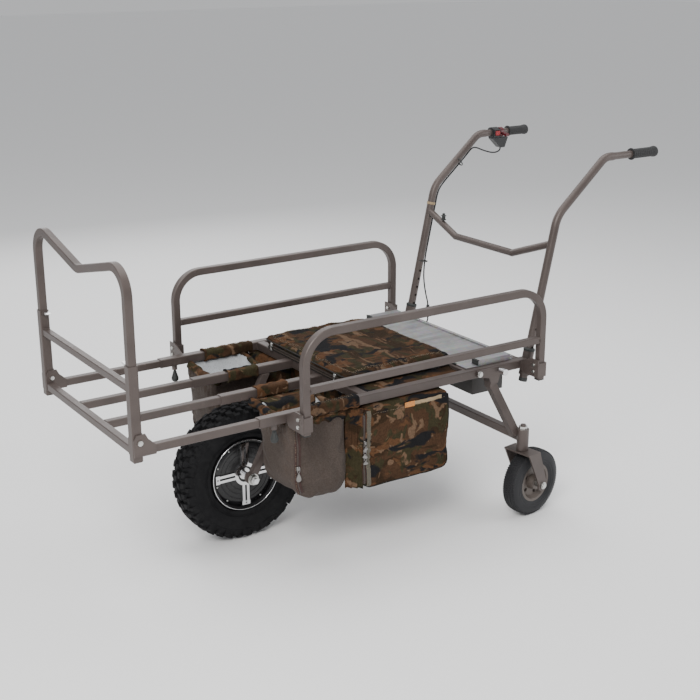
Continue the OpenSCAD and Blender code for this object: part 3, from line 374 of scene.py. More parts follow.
def make_materials():
    coat_dark, coat_light = (0.065, 0.050, 0.045), (0.096, 0.076, 0.069)
    return {
        "frame_paint": powder_coat("taupe_powder_coat", coat_dark, coat_light),
        "hub_paint": powder_coat("caster_hub_coat", (0.075, 0.060, 0.052), (0.110, 0.090, 0.078), 0.15),
        "black_metal": powder_coat("black_satin_paint", (0.008, 0.008, 0.009), (0.02, 0.02, 0.021),
                                   0.1, (0.16, 0.30)),
        "tray_paint": powder_coat("tray_paint", (0.030, 0.027, 0.026), (0.050, 0.046, 0.043), 0.2),
        "plate_steel": galvanised("galvanised_plate"),
        "zip_metal": bare_metal("zip_pull_metal", (0.27, 0.26, 0.25), 0.34),
        "bright_steel": bare_metal("polished_steel", (0.80, 0.80, 0.81), 0.09),
        "zinc_steel": bare_metal("zinc_plated_steel", (0.62, 0.62, 0.60), 0.26, "Y"),
        "motor_steel": bare_metal("laminated_steel", (0.35, 0.33, 0.31), 0.40, "Y"),
        "cast_aluminium": bare_metal("cast_aluminium", (0.60, 0.61, 0.62), 0.36),
        "black_plastic": moulded("black_plastic", (0.014, 0.014, 0.015), 0.42),
        "soft_black": moulded("cap_plastic", (0.020, 0.022, 0.021), 0.55),
        "grip_rubber": moulded("grip_rubber", (0.014, 0.014, 0.015), 0.60, 700, 0.35),
        "red_plastic": moulded("red_rocker", (0.260, 0.010, 0.014), 0.16, 200, 0.03, 0.1,
                               Coat_Weight=0.6),
        "dark_red_plastic": moulded("wine_lever", (0.075, 0.008, 0.012), 0.25, 300, 0.06, 0.15),
        "tyre_rubber": tyre_rubber("tyre_rubber"),
        "caster_rubber": moulded("caster_rubber", (0.010, 0.010, 0.012), 0.60, 260, 0.3, 0.25),
        "camo_fabric": camouflage("camouflage_cloth"),
        "camo_cover": camouflage("camouflage_cover_cloth", 0.72, stretch=(1.0, 0.55, 1.0),
                                 shade=0.66),
        "bag_fabric": woven("bag_cloth", (0.049, 0.037, 0.031), (0.086, 0.067, 0.057)),
        "binding": woven("olive_binding", (0.090, 0.082, 0.064), (0.135, 0.124, 0.100), 0.8, 260, 0.1),
        "piping": woven("dark_piping", (0.012, 0.011, 0.010), (0.026, 0.023, 0.020), 0.7, 300, 0.1),
        "zip_coil": moulded("zip_coil", (0.060, 0.046, 0.038), 0.40, 500, 0.1),
        "zip_tape": woven("zip_tape", (0.040, 0.022, 0.020), (0.070, 0.042, 0.038), 0.8, 320, 0.1),
        "thread": woven("stitch_thread", (0.16, 0.12, 0.08), (0.22, 0.17, 0.12), 0.7, 400, 0.1),
        "patch": woven("orange_patch", (0.52, 0.20, 0.055), (0.68, 0.30, 0.10), 0.6, 300, 0.05),
        "patch_tan": woven("tan_patch", (0.30, 0.22, 0.13), (0.42, 0.32, 0.20), 0.6, 300, 0.05),
        "net": net("net_lining"),
    }


# ---------- mesh helpers ----------

def clamp(value, low, high):
    return min(max(value, low), high)


def kept_within(points, low, high):
    """The points, each moved no further than into the box from low to high."""
    return [tuple(clamp(v, a, b) for v, a, b in zip(p, low, high)) for p in points]


def turns(count):
    """Evenly spaced angles of one full turn."""
    return [2 * math.pi * k / count for k in range(count)]


class Shape:
    """Gathers vertices and faces, in metres, in the cart's frame."""

    def __init__(self):
        self.verts, self.faces = [], []

    def add(self, verts, faces):
        base = len(self.verts)
        self.verts += [tuple(v) for v in verts]
        self.faces += [tuple(base + i for i in face) for face in faces]
        return self

    def grid(self, rows, closed=True, loop=False, caps=True):
        """Quads between rows of points; closed joins each row's ends, loop joins last to first."""
        n, m = len(rows), len(rows[0])
        faces = []
        for i in range(n if loop else n - 1):
            for j in range(m if closed else m - 1):
                a, b = i * m, ((i + 1) % n) * m
                faces.append((a + j, a + (j + 1) % m, b + (j + 1) % m, b + j))
        if caps and closed and not loop:
            faces += [tuple(range(m))[::-1], tuple(range((n - 1) * m, n * m))]
        return self.add([p for row in rows for p in row], faces)

    def lathe(self, profile, centre, axis, steps=48, closed=False):
        """Turns (radius, along) points about an axis; closed profiles make rings."""
        axis = Vector(axis).normalized()
        side = axis.orthogonal().normalized()
        other = axis.cross(side)
        rows = []
        for a in turns(steps):
            out = side * math.cos(a) + other * math.sin(a)
            rows.append([Vector(centre) + out * r + axis * h for r, h in profile])
        return self.grid(rows, closed=closed, loop=True)

    def sweep(self, path, section, closed_path=False, caps=True):
        """Carries a closed section, given as (across, up) points, along a path."""
        path = [Vector(p) for p in path]
        n = len(path)
        up = Vector((0, 0, 1)) if abs((path[1] - path[0]).normalized().z) < 0.9 else Vector((0, 1, 0))
        rows = []
        for i, p in enumerate(path):
            ahead = path[(i + 1) % n] if closed_path or i < n - 1 else p
            behind = path[i - 1] if closed_path or i > 0 else p
            t = (ahead - behind).normalized()
            across = t.cross(up).normalized()
            up = across.cross(t).normalized()
            points = section(i / max(1, n - 1)) if callable(section) else section
            rows.append([p + across * a + up * b for a, b in points])
        return self.grid(rows, loop=closed_path, caps=caps)

    def block(self, low, high, edge=0.001, steps=3):
        """A box with rounded edges, lofted along Z."""
        (x0, y0, z0), (x1, y1, z1) = low, high
        rows = []
        for t in range(steps + 1):
            a = math.pi / 2 * t / steps
            rows.append((z0 + edge * (1 - math.sin(a)), edge * (1 - math.cos(a))))
        rows += [(z0 + z1 - z, inset) for z, inset in reversed(rows)]
        rings = []
        for z, inset in rows:
            ring = rounded_outline((x0 + inset, y0 + inset), (x1 - inset, y1 - inset),
                                   max(edge - inset, edge * 0.15), steps)
            rings.append([(x, y, z) for x, y in ring])
        return self.grid(rings)

    def joined(self, other):
        return self.add(other.verts, other.faces)

    def mirrored(self):
        """The same shape on the other side of the cart's middle plane."""
        twin = Shape()
        twin.verts = [(x, -y, z) for x, y, z in self.verts]
        twin.faces = [face[::-1] for face in self.faces]
        return twin


def round_section(radius, sides=12):
    return [(radius * math.cos(a), radius * math.sin(a)) for a in turns(sides)]


def rib_ring(radius, along, thick, sides=6):
    """Profile of a small round rib, for lathe(), at a radius and a place along the axis."""
    return [(radius + thick * math.cos(a), along + thick * math.sin(a)) for a in turns(sides)]


def rounded_outline(low, high, radius, steps=4):
    """Corner-rounded rectangle as a list of 2-D points, counter-clockwise."""
    (x0, y0), (x1, y1) = low, high
    points = []
    for cx, cy, start in ((x1 - radius, y1 - radius, 0), (x0 + radius, y1 - radius, 90),
                          (x0 + radius, y0 + radius, 180), (x1 - radius, y0 + radius, 270)):
        for k in range(steps + 1):
            a = math.radians(start + 90 * k / steps)
            points.append((cx + radius * math.cos(a), cy + radius * math.sin(a)))
    return points


def resampled(points, count):
    """The closed outline walked at even spacing."""
    loop = [Vector((*p, 0)) for p in points]
    loop.append(loop[0])
    lengths = [(b - a).length for a, b in zip(loop, loop[1:])]
    total, out, i, done = sum(lengths), [], 0, 0.0
    for k in range(count):
        want = total * k / count
        while done + lengths[i] < want:
            done += lengths[i]
            i += 1
        share = (want - done) / lengths[i]
        p = loop[i].lerp(loop[i + 1], share)
        out.append((p.x, p.y))
    return out


def smooth_path(points, per_span=8):
    """Catmull-Rom through the points."""
    pts = [Vector(p) for p in points]
    pts = [pts[0] * 2 - pts[1], *pts, pts[-1] * 2 - pts[-2]]
    out = []
    for a, b, c, d in zip(pts, pts[1:], pts[2:], pts[3:]):
        for k in range(per_span):
            t = k / per_span
            out.append(0.5 * ((2 * b) + (c - a) * t + (2 * a - 5 * b + 4 * c - d) * t * t
                              + (3 * b - a - 3 * c + d) * t ** 3))
    out.append(pts[-2])
    return out


def ruffle(shape, size, height, seed=0.0, keep=None):
    """Moves points by smooth noise, for creased cloth; keep(point) scales the move."""
    out = []
    for v in shape.verts:
        p = Vector(v)
        move = noise.noise_vector(p * size + Vector((seed, seed * 1.7, -seed))) * height
        move += noise.noise_vector(p * size * 2.7 + Vector((-seed, seed, 5))) * height * 0.35
        out.append(tuple(p + move * (keep(p) if keep else 1)))
    shape.verts = out
    return shape


def mesh_of(name, shape):
    """A Shape as a Blender mesh whose faces all point outwards."""
    mesh = bpy.data.meshes.new(name)
    mesh.from_pydata(shape.verts, [], shape.faces)
    work = bmesh.new()
    work.from_mesh(mesh)
    bmesh.ops.recalc_face_normals(work, faces=work.faces)
    work.to_mesh(mesh)
    work.free()
    return mesh


def piece(name, shape, mat, body, replaces=(), subdivide=0, sharp=50):
    """Turns a Shape into an object that rides on a body."""
    mesh = mesh_of(name, shape)
    mesh.shade_smooth()
    mesh.set_sharp_from_angle(angle=math.radians(sharp))
    mesh.materials.append(MATS[mat])
    obj = bpy.data.objects.new(name, mesh)
    SCENE.collection.objects.link(obj)
    if subdivide:
        rounder = obj.modifiers.new("rounder", "SUBSURF")
        rounder.levels = rounder.render_levels = subdivide
    if body:
        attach(obj, body)
    if replaces:
        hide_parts(*replaces)
    return obj


# ---------- paint on the CAD nodes ----------

NODE_LOOK = {
    "battery_tray": "tray_paint", "frame_bolts": "zinc_steel", "gate_hinge_bolts": "zinc_steel",
    "left_caster_bolts": "zinc_steel", "right_caster_bolts": "zinc_steel",
    "axle_nuts": "zinc_steel", "left_caster_hub": "hub_paint", "right_caster_hub": "hub_paint",
    "left_caster_tyre": "caster_rubber", "right_caster_tyre": "caster_rubber",
    "left_slide_plunger": "soft_black", "right_slide_plunger": "soft_black",
    "battery_pack": "black_plastic",
}


def paint_nodes():
    """Gives each CAD node its own look, or the material named after its slot."""
    slots = {s["node"]: s["material_slot"] for s in frame["record"]["subparts"]}
    for name, obj in NODES.items():
        look = MATS[NODE_LOOK.get(name) or slots[name]]
        for entry in obj.material_slots:
            entry.link = "DATA"
            entry.material = look
        if not obj.material_slots:
            obj.data.materials.append(look)


# ---------- front wheel ----------

TYRE_R = 0.203


def front_tyre():
    """Ribbed carcass with two rows of centre knobs, shoulder knobs and side lugs."""
    half = 0.047
    arc = [(0.109, 0.033), (0.114, 0.040), (0.124, 0.0435), (0.138, 0.0465), (0.152, half),
           (0.166, 0.0462), (0.178, 0.0436), (0.186, 0.0385), (0.1915, 0.0300), (0.1935, 0.0150)]
    profile = [(r, -h) for r, h in arc] + [(0.194, 0.0)] + [(r, h) for r, h in reversed(arc)]
    carcass = Shape().lathe(profile + [(0.106, 0.028), (0.106, -0.028)], AXLE, (0, 1, 0), 120, True)
    for rib, height in ((0.1265, 0.0447), (0.1310, 0.0456), (0.1700, 0.0457)):
        for side in (-1, 1):
            carcass.lathe(rib_ring(rib, side * height, 0.0011), AXLE, (0, 1, 0), 120, True)

    def knob(angle, y, along, wide, r0, r1, skew=0.0, lean_out=0.0):
        base, top = [], []
        for a, b in ((-1, -1), (-0.2, -1.18), (1, -0.85), (1.1, 0.3), (0.8, 1), (-1, 1.05)):
            base.append((a * along * 0.56, y + b * wide * 0.56 + a * skew))
            top.append((a * along * 0.46, y + b * wide * 0.46 + a * skew))
        rings = [(r0, base), (r1 - 0.0012, top), (r1, [(x * 0.88, y + (q - y) * 0.88) for x, q in top])]
        rows = []
        for r, ring in rings:
            row = []
            for x, yy in ring:
                radius = r - lean_out * max(0.0, abs(yy) - 0.030)
                a = angle + x / r1
                row.append(AXLE + Vector((math.cos(a) * radius, yy, math.sin(a) * radius)))
            rows.append(row)
        return Shape().grid(rows)

    count = 38
    half_step = math.pi / count
    for k, a in enumerate(turns(count)):
        long = k % 2 == 0
        for s in (-1, 1):
            carcass.joined(knob(a + (half_step if s > 0 else 0), s * 0.0095, 0.0200, 0.0150,
                                0.190, TYRE_R - 0.0003, s * 0.0030))
            carcass.joined(knob(a + half_step * (0.6 if s > 0 else 1.6), s * 0.0290, 0.0195, 0.0150,
                                0.186, TYRE_R - 0.0012, s * -0.0022, 0.5))
            outer = 0.0415 if long else 0.0400
            carcass.joined(knob(a + half_step * (1.5 if s > 0 else 0.4), s * outer,
                                0.0210 if long else 0.0150, 0.0085, 0.160 if long else 0.172,
                                0.1990 if long else 0.1965, 0, 0.55))
    piece("front_tyre_tread", carcass, "tyre_rubber", "front_wheel",
          ["front_tyre"], sharp=34)


def wheel_trim():
    """Bright rim edges, motor cover screws and ribs, and the valve."""
    rings, bolts, cover = Shape(), Shape(), Shape()
    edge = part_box("front_rim")[1].y
    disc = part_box("motor_hub")[1].y
    for side in (-1, 1):
        rings.lathe(rib_ring(0.1070, side * edge, 0.0013, 8), AXLE, (0, 1, 0), 96, True)
        for k in range(10):
            a = math.radians(36 * k + 14)
            at = AXLE + Vector((math.cos(a) * 0.0935, side * disc, math.sin(a) * 0.0935))
            bolts.lathe([(0.0001, 0.0022), (0.0020, 0.0020), (0.0030, 0.0010), (0.0032, -0.0004)],
                        at, (0, side, 0), 10)
        for r in (0.050, 0.064, 0.078):
            rib = [(r + dr, side * (disc + dh))
                   for dr, dh in ((-0.002, -0.0005), (-0.001, 0.0012), (0.001, 0.0012), (0.002, -0.0005))]
            cover.lathe(rib, AXLE, (0, 1, 0), 72, True)
    piece("rim_bright_edge", rings, "bright_steel", "front_wheel")
    piece("motor_cover_screws", bolts, "zinc_steel", "front_wheel")
    piece("motor_cover_ribs", cover, "black_metal", "front_wheel")
    valve = Shape().sweep([AXLE + Vector((0.076, -0.046, 0.072)), AXLE + Vector((0.066, -0.049, 0.062))],
                          round_section(0.0035, 10))
    piece("valve_stem", valve, "soft_black", "front_wheel")


# ---------- casters ----------

def caster_place(side):
    """Centre and axle direction of a caster wheel; its fork trails at a slight angle."""
    turn = math.radians(8)
    centre = Vector((0.335 + 0.042 * math.cos(turn), side * (0.370 - 0.042 * math.sin(turn)), 0.104))
    axis = Vector((math.sin(turn), side * math.cos(turn), 0))
    return centre, axis


def caster_tyres():
    """Ribbed caster tyres with four rows of small tread blocks."""
    for name, side in SIDES.items():
        centre, axis = caster_place(side)
        half = [(0.0595, 0.0205), (0.066, 0.0240), (0.074, 0.0262), (0.083, 0.0268), (0.0905, 0.0252),
                (0.0960, 0.0222), (0.1000, 0.0180)]
        tread = [(0.1014, -0.0110), (0.1018, 0.0), (0.1014, 0.0110)]
        profile = [(r, -h) for r, h in half] + tread + [(r, h) for r, h in reversed(half)]
        body = Shape().lathe(profile + [(0.0600, 0.0200), (0.0600, -0.0200)], centre, axis, 96, True)
        side_way = axis.orthogonal().normalized()
        other_way = axis.cross(side_way)
        for k in range(84):
            for row, y in enumerate((-0.0165, -0.0055, 0.0055, 0.0165)):
                a = 2 * math.pi * (k + 0.5 * (row % 2)) / 84
                out = side_way * math.cos(a) + other_way * math.sin(a)
                along = other_way * math.cos(a) - side_way * math.sin(a)
                deep = 0.1008 if abs(y) > 0.01 else 0.1022
                rows = [[centre + out * r + axis * (y + q * 0.0042 * g) + along * (t * 0.0024 * g)
                         for t, q in ((-1, -0.7), (1, -1), (1.2, 0.8), (-0.8, 1))]
                        for r, g in ((deep - 0.004, 1.15), (deep + 0.0006, 1.0), (deep + 0.0012, 0.86))]
                body.grid(rows)
        for rib, height in ((0.0700, 0.0251), (0.0780, 0.0264)):
            for s in (-1, 1):
                body.lathe(rib_ring(rib, s * height, 0.0009), centre, axis, 80, True)
        piece(f"{name}_caster_tread", body, "caster_rubber", f"{name}_caster_wheel",
              [f"{name}_caster_tyre"], sharp=34)


# ---------- grips, cables and throttle trim ----------

GRIP_Y, GRIP_Z = 0.300, 1.056
CABLE_R = 0.0024


def grips():
    """Ribbed rubber grips with a flange at the inner end and a rounded cap."""
    shape = Shape()
    end = cad_bounds[1][0]
    for side, length in ((-1, 0.104), (1, 0.084)):
        outer = [(0.0112, -length), (0.0176, -length), (0.0182, -length + 0.0020),
                 (0.0176, -length + 0.0045), (0.0142, -length + 0.0060)]
        ribs = 9
        step = (length - 0.034) / ribs
        for k in range(ribs):
            start = -length + 0.010 + (length - 0.034) * k / ribs
            outer += [(0.0138, start), (0.0148, start + step * 0.22), (0.0148, start + step * 0.72),
                      (0.0138, start + step * 0.92)]
        outer += [(0.0144, -0.022), (0.0160, -0.014), (0.0168, -0.007), (0.0158, -0.0022),
                  (0.0120, -0.0004), (0.0001, 0.0)]
        shape.lathe(outer, (end, side * GRIP_Y, GRIP_Z), (1, 0, 0), 40)
    piece("ribbed_grips", shape, "grip_rubber", "handles", ["handle_grips"])


def cable(name, node, body, route, per_span):
    """A jacket along a route in millimetres."""
    path = smooth_path([Vector(p) / 1000 for p in route], per_span)
    obj = piece(name, Shape().sweep(path, round_section(CABLE_R)), "grip_rubber", body,
                [node])
    return obj


def cables():
    """The throttle cable down the right handle, and the lead from its socket to the controller."""
    route = [(777, 300, 1004), (776, 300, 997), (770, 300, 991), (756, 299, 988), (738, 299, 989),
             (715, 298, 995), (692, 298, 1003), (670, 298, 1011), (651, 298, 1010), (626, 298, 988),
             (601, 298, 966), (576, 298, 944), (554, 298, 925), (532, 298, 905), (516, 298, 886),
             (508, 298, 866), (503, 298, 845), (492, 298, 796), (481, 298, 746), (470, 298, 696),
             (462, 297, 661), (457, 296, 630), (455, 295, 596), (458, 294, 562), (464, 293, 530),
             (470, 293, 508), (473, 293, 492)]
    cable("throttle_cable_jacket", "throttle_cable", "handles", route, 4)
    lead = [(473, 293, 450), (472, 292, 442), (467, 290, 434), (457, 286, 427), (441, 280, 423),
            (423, 271, 421), (404, 260, 421), (387, 249, 422), (374, 242, 424), (364, 240, 424),
            (352, 240, 424)]
    obj = cable("controller_lead_jacket", "controller_lead", None, lead, 6)
    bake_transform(obj)


def cable_ties():
    """Flat ties that hold the throttle cable to the handle tube."""
    ties = Shape()
    bend_lean = math.radians(48.9)
    strap = [(-0.0006, -0.0019), (0.0006, -0.0019), (0.0006, 0.0019), (-0.0006, 0.0019)]
    for x, z in ((0.6010, 0.9660), (0.4920, 0.7960), (0.4580, 0.6480)):
        lean = bend_lean if z > 0.9 else LEAN
        axis = Vector((math.sin(lean), 0, math.cos(lean)))
        gap = Vector((axis.z, 0, -axis.x))
        mid = Vector((x, 0.2985, z)) - gap * 0.0078
        rows = []
        for a in turns(28):
            p = mid + gap * (0.0195 * math.cos(a)) + Vector((0, 0.0145 * math.sin(a), 0))
            out = (p - mid).normalized()
            rows.append([p + out * a + axis * b for a, b in strap])
        ties.grid(rows, loop=True)
    piece("cable_ties", ties, "soft_black", "handles")


def crossbar_trim():
    """The clip on the V bar and the bare ring where the bar meets the right handle."""
    clip = Shape().block((0.4630, 0.2030, 0.8010), (0.4770, 0.2190, 0.8180), 0.003)
    clip.lathe([(0.0001, 0.0), (0.0042, 0.0), (0.0048, 0.0015), (0.0042, 0.0060), (0.0001, 0.0070)],
               (0.4700, 0.2110, 0.8175), (0, 0, 1), 20)
    piece("crossbar_clip", clip, "soft_black", "handles")
    ring = Shape().lathe([(0.0126, -0.0040), (0.0138, -0.0036), (0.0141, 0.0), (0.0138, 0.0036),
                          (0.0126, 0.0040)], (0.4845, 0.3000, 0.8420), HANDLE_AXIS, 36, True)
    piece("crossbar_joint_ring", ring, "patch_tan", "handles")


def handle_feet():
    """Caps under the handle tubes and collars on top of their clamps."""
    caps, collars = Shape(), Shape()
    clamp_z = 0.4975
    for side in (-1, 1):
        foot = Vector((0.388, side * 0.300, 0.408))
        caps.lathe([(0.0001, -0.0035), (0.0118, -0.0033), (0.0131, -0.0018), (0.0131, 0.0085),
                    (0.01262, 0.0090)], foot, HANDLE_AXIS, 32)
        clamp_top = foot + HANDLE_AXIS * ((clamp_z - foot.z) / HANDLE_AXIS.z)
        collars.lathe([(0.0127, 0.0000), (0.0172, 0.0002), (0.0178, 0.0015), (0.0178, 0.0060),
                       (0.0168, 0.0085), (0.0138, 0.0098), (0.0127, 0.0098)], clamp_top, HANDLE_AXIS,
                      36, True)
    piece("handle_foot_caps", caps, "soft_black", "handles")
    piece("handle_guide_collars", collars, "soft_black", "frame")


# ---------- plastic caps, weld beads and edging ----------

CAP_EDGE = 0.0022
GUARD_Y = 0.378
GUARD_HALF = 0.0109


def square_plug(shape, x, y, low_z, high_z, half):
    """An upright square plug for a tube's open end."""
    shape.block((x - half, y - half, low_z), (x + half, y + half, high_z), CAP_EDGE)


def frame_trim():
    """Plastic plugs in the open tube ends and the black edging of the deck plate."""
    caps = Shape()
    guard_low, guard_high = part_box("right_guard")
    for name, side in SIDES.items():
        ends = Shape()
        for x in (guard_low.x + 0.011, guard_high.x - 0.011):
            square_plug(ends, x, side * GUARD_Y, guard_low.z - 0.0040, guard_low.z + 0.0010, GUARD_HALF)
        piece(f"{name}_guard_end_caps", ends, "soft_black", f"{name}_side_guard")
        y = side * RAIL_Y
        caps.block((RAIL_HIGH.x - 0.001, y - 0.0120, RAIL_Z - 0.0120),
                   (RAIL_HIGH.x + 0.0030, y + 0.0120, RAIL_Z + 0.0120), 0.0015)
    piece("rail_end_caps", caps, "soft_black", "frame")
    feet = Shape()
    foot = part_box("gate_posts")[0]
    for side in (-1, 1):
        square_plug(feet, foot.x + RAIL_W / 2, side * RAIL_Y, foot.z - 0.0025, foot.z + 0.004, 0.0120)
    piece("gate_post_feet", feet, "soft_black", "gate")
    edging = Shape()
    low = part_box("deck_plate")[0]
    edging.block((low.x - 0.0025, -0.245, 0.4796), (low.x + 0.0035, 0.245, 0.4842), 0.0012)
    for side in (-1, 1):
        y0, y1 = sorted((side * 0.262, side * 0.2925))
        edging.block((low.x + 0.0430, y0, 0.4832), (low.x + 0.0500, y1, 0.4985), 0.0012)
    piece("deck_plate_edging", edging, "soft_black", "deck_lid")


def weld_ring(shape, centre, axis, width, ripple=26):
    """A rippled bead round a square tube's joint, lying in the plane across the axis."""
    axis = Vector(axis).normalized()
    side = axis.orthogonal().normalized()
    if abs(side.x) > 0.5 and abs(side.z) > 0.5:
        side = Vector((0, 0, 1))
    other = axis.cross(side)
    outline = resampled(rounded_outline((-width, -width), (width, width), 0.003, 3), ripple * 4)
    path = [Vector(centre) + side * a + other * b for a, b in outline]
    rows = []
    for i, p in enumerate(path):
        out = (p - Vector(centre)).normalized()
        fat = 0.0015 + 0.0004 * math.sin(i * 2.1)
        rows.append([p + out * a + axis * b for a, b in round_section(fat, 6)])
    shape.grid(rows, loop=True)


def weld_beads():
    """Painted beads where tubes meet."""
    frame_beads, gate_beads = Shape(), Shape()
    for x in (-0.187, 0.178, 0.365):
        for side in (-1, 1):
            weld_ring(frame_beads, (x, side * (RAIL_Y - 0.0132), RAIL_Z), (0, 1, 0), 0.0128)
    piece("rail_weld_beads", frame_beads, "frame_paint", "frame")
    guard_low, guard_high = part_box("right_guard")
    for name, side in SIDES.items():
        beads = Shape()
        for x in (guard_low.x + 0.0222, guard_high.x - 0.0222):
            weld_ring(beads, (x, side * GUARD_Y, 0.558), (1, 0, 0), 0.0098)
        piece(f"{name}_guard_welds", beads, "frame_paint", f"{name}_side_guard")
    for side in (-1, 1):
        weld_ring(gate_beads, (-0.876, side * 0.2868, 0.628), (0, 1, 0), 0.0098)
    piece("gate_weld_beads", gate_beads, "frame_paint", "gate")


# ---------- sewn goods ----------

def pouch(outline, y_in, y_out, edge, crown, count=110, steps=6):
    """A stuffed pouch: an outline in the XZ plane carried through Y, its faces crowned.

    y_in and y_out are distances from the middle plane on the +Y side."""
    ring = resampled(outline, count)
    cx = sum(p[0] for p in ring) / count
    cz = sum(p[1] for p in ring) / count
    span = min(max(p[0] for p in ring) - cx, max(p[1] for p in ring) - cz)

    def at(share, y):
        return [(cx + (x - cx) * share, y, cz + (z - cz) * share) for x, z in ring]

    shares = [0.1, 0.22, 0.34, 0.46, 0.58, 0.69, 0.79, 0.87, 0.93]
    rows = [at(share, y_in - crown * 0.3 * (1 - share ** 2)) for share in shares]
    for k in range(steps + 1):
        a = math.pi / 2 * k / steps
        rows.append(at(1 - edge / span * (1 - math.sin(a)), y_in + edge * (1 - math.cos(a))))
    for k in range(1, 12):
        rows.append(at(1, y_in + edge + (y_out - y_in - 2 * edge) * k / 12))
    for k in range(steps + 1):
        a = math.pi / 2 * k / steps
        rows.append(at(1 - edge / span * (1 - math.cos(a)), y_out - edge * (1 - math.sin(a))))
    rows += [at(share, y_out + crown * (1 - (share / 0.97) ** 2)) for share in reversed(shares)]
    return Shape().grid(rows)


SEW_FRAMES = 20


def sewn(shape, name, held, voxel=0.006, cap=0.007, pressure=4.0, grow=0.035):
    """Cloth simulation of a closed shape: blown up between the places where it is held."""
    obj = bpy.data.objects.new(name, mesh_of(name, shape))
    SCENE.collection.objects.link(obj)
    voxels = obj.modifiers.new("voxels", "REMESH")
    voxels.mode = "VOXEL"
    voxels.voxel_size = voxel
    obj.data = bpy.data.meshes.new_from_object(obj.evaluated_get(bpy.context.evaluated_depsgraph_get()))
    obj.modifiers.clear()
    rest = [v.co.copy() for v in obj.data.vertices]
    seams = obj.vertex_groups.new(name="seams")
    seams.add([i for i, p in enumerate(rest) if held(p)], 1.0, "REPLACE")
    cloth = obj.modifiers.new("cloth", "CLOTH")
    cloth.settings.quality = 5
    cloth.settings.mass = 0.25
    cloth.settings.vertex_group_mass = "seams"
    cloth.settings.use_pressure = True
    cloth.settings.uniform_pressure_force = pressure
    cloth.settings.shrink_min = -grow
    cloth.settings.effector_weights.gravity = 0
    cloth.point_cache.frame_start = 1
    cloth.point_cache.frame_end = SEW_FRAMES
    for tick in range(1, SEW_FRAMES + 1):
        SCENE.frame_set(tick)
    solved = obj.evaluated_get(bpy.context.evaluated_depsgraph_get()).to_mesh()
    out = Shape()
    for p, v in zip(rest, solved.vertices):
        move = v.co - p
        if move.length > cap:
            move *= cap / move.length
        out.verts.append(tuple(p + move))
    out.faces = [tuple(f.vertices) for f in solved.polygons]
    SCENE.frame_set(1)
    bpy.data.objects.remove(obj)
    return out


def skin(shape):
    """Ray test on a finished shape: meet(start, way) is the point where its skin is met."""
    tree = BVHTree.FromPolygons([Vector(v) for v in shape.verts], shape.faces)

    def meet(start, way):
        found = tree.ray_cast(Vector(start), Vector(way))[0]
        return found or Vector(start)

    return meet


def ribbon(path, width_axis, out_axis, width, thick):
    """A flat strip carried along a path, with its width along one axis."""
    w, o = Vector(width_axis).normalized(), Vector(out_axis).normalized()
    rows = []
    for p in path:
        p = Vector(p)
        rows.append([p - w * width / 2, p + w * width / 2, p + w * width / 2 + o * thick,
                     p - w * width / 2 + o * thick])
    return Shape().grid(rows)


def zip_line(path, out, half=0.0062):
    """Tape and coil teeth along a path; returns (tape, teeth)."""
    out = Vector(out).normalized()
    path = [Vector(p) for p in path]
    tape, teeth, rows = Shape(), Shape(), []
    for i, p in enumerate(path):
        t = (path[min(i + 1, len(path) - 1)] - path[max(i - 1, 0)]).normalized()
        w = t.cross(out).normalized()
        rows.append([p - w * half - out * 0.002, p + w * half - out * 0.002, p + w * half + out * 0.0010,
                     p + w * 0.0030 + out * 0.0012, p - w * 0.0030 + out * 0.0012,
                     p - w * half + out * 0.0010])
    tape.grid(rows)
    done, step = 0.0, 0.0030
    for a, b in zip(path, path[1:]):
        t = (b - a).normalized()
        w = t.cross(out).normalized()
        while done < (b - a).length:
            c = a + t * done
            corners = [c + t * (s * 0.0009) + w * (q * 0.0021) + out * h
                       for s in (-1, 1) for q in (-1, 1) for h in (0.0008, 0.0022)]
            teeth.add(corners, [(0, 1, 3, 2), (4, 6, 7, 5), (0, 4, 5, 1), (2, 3, 7, 6), (1, 5, 7, 3),
                                (0, 2, 6, 4)])
            done += step
        done -= (b - a).length
    return tape, teeth


def puller(at, out, drop=0.030):
    """Slider body, ring and drop-shaped tab hanging down."""
    at, out = Vector(at), Vector(out).normalized()
    across = out.cross(Vector((0, 0, 1))).normalized()
    up = Vector((0, 0, 1))
    body, rows = Shape(), []
    for z, w, h in ((-0.008, 0.0035, 0.002), (-0.006, 0.0052, 0.0045), (0.001, 0.0060, 0.0052),
                    (0.005, 0.0045, 0.0035), (0.006, 0.0030, 0.002)):
        base = at + up * z + out * 0.0012
        rows.append([base - across * w, base + across * w, base + across * w * 0.8 + out * h,
                     base - across * w * 0.8 + out * h])
    body.grid(rows)
    loop = [at + out * 0.0062 + across * (0.0035 * math.cos(a)) + up * (0.006 * math.sin(a) - 0.006)
            for a in turns(18)]
    body.sweep(loop, round_section(0.0009, 8), closed_path=True)
    tab = []
    for a in turns(20):
        wide = 0.0099 * (0.62 - 0.38 * math.sin(a))
        tab.append((wide * math.cos(a), drop / 2 * math.sin(a)))
    rows = []
    for h, grow in ((0.0040, 0.82), (0.0046, 1.0), (0.0070, 1.0), (0.0076, 0.82)):
        rows.append([at + across * (x * grow) + up * (z * grow - 0.012 - drop / 2) + out * h
                     for x, z in tab])
    return body.grid(rows)


def stitches(path, out, length=0.0040, gap=0.0026, thick=0.0006):
    """A row of thread stitches along a path."""
    out = Vector(out).normalized()
    shape, done = Shape(), 0.0
    path = [Vector(p) for p in path]
    for a, b in zip(path, path[1:]):
        run = (b - a).length
        if run < 1e-6:
            continue
        t = (b - a) / run
        w = t.cross(out).normalized() * thick
        while done < run:
            s, e = a + t * done, a + t * min(run, done + length)
            m = (s + e) / 2
            shape.grid([[s - w, s + w, s + out * 0.001], [m - w, m + w, m + out * 0.0016],
                        [e - w, e + w, e + out * 0.001]])
            done += length + gap
        done -= run
    return shape


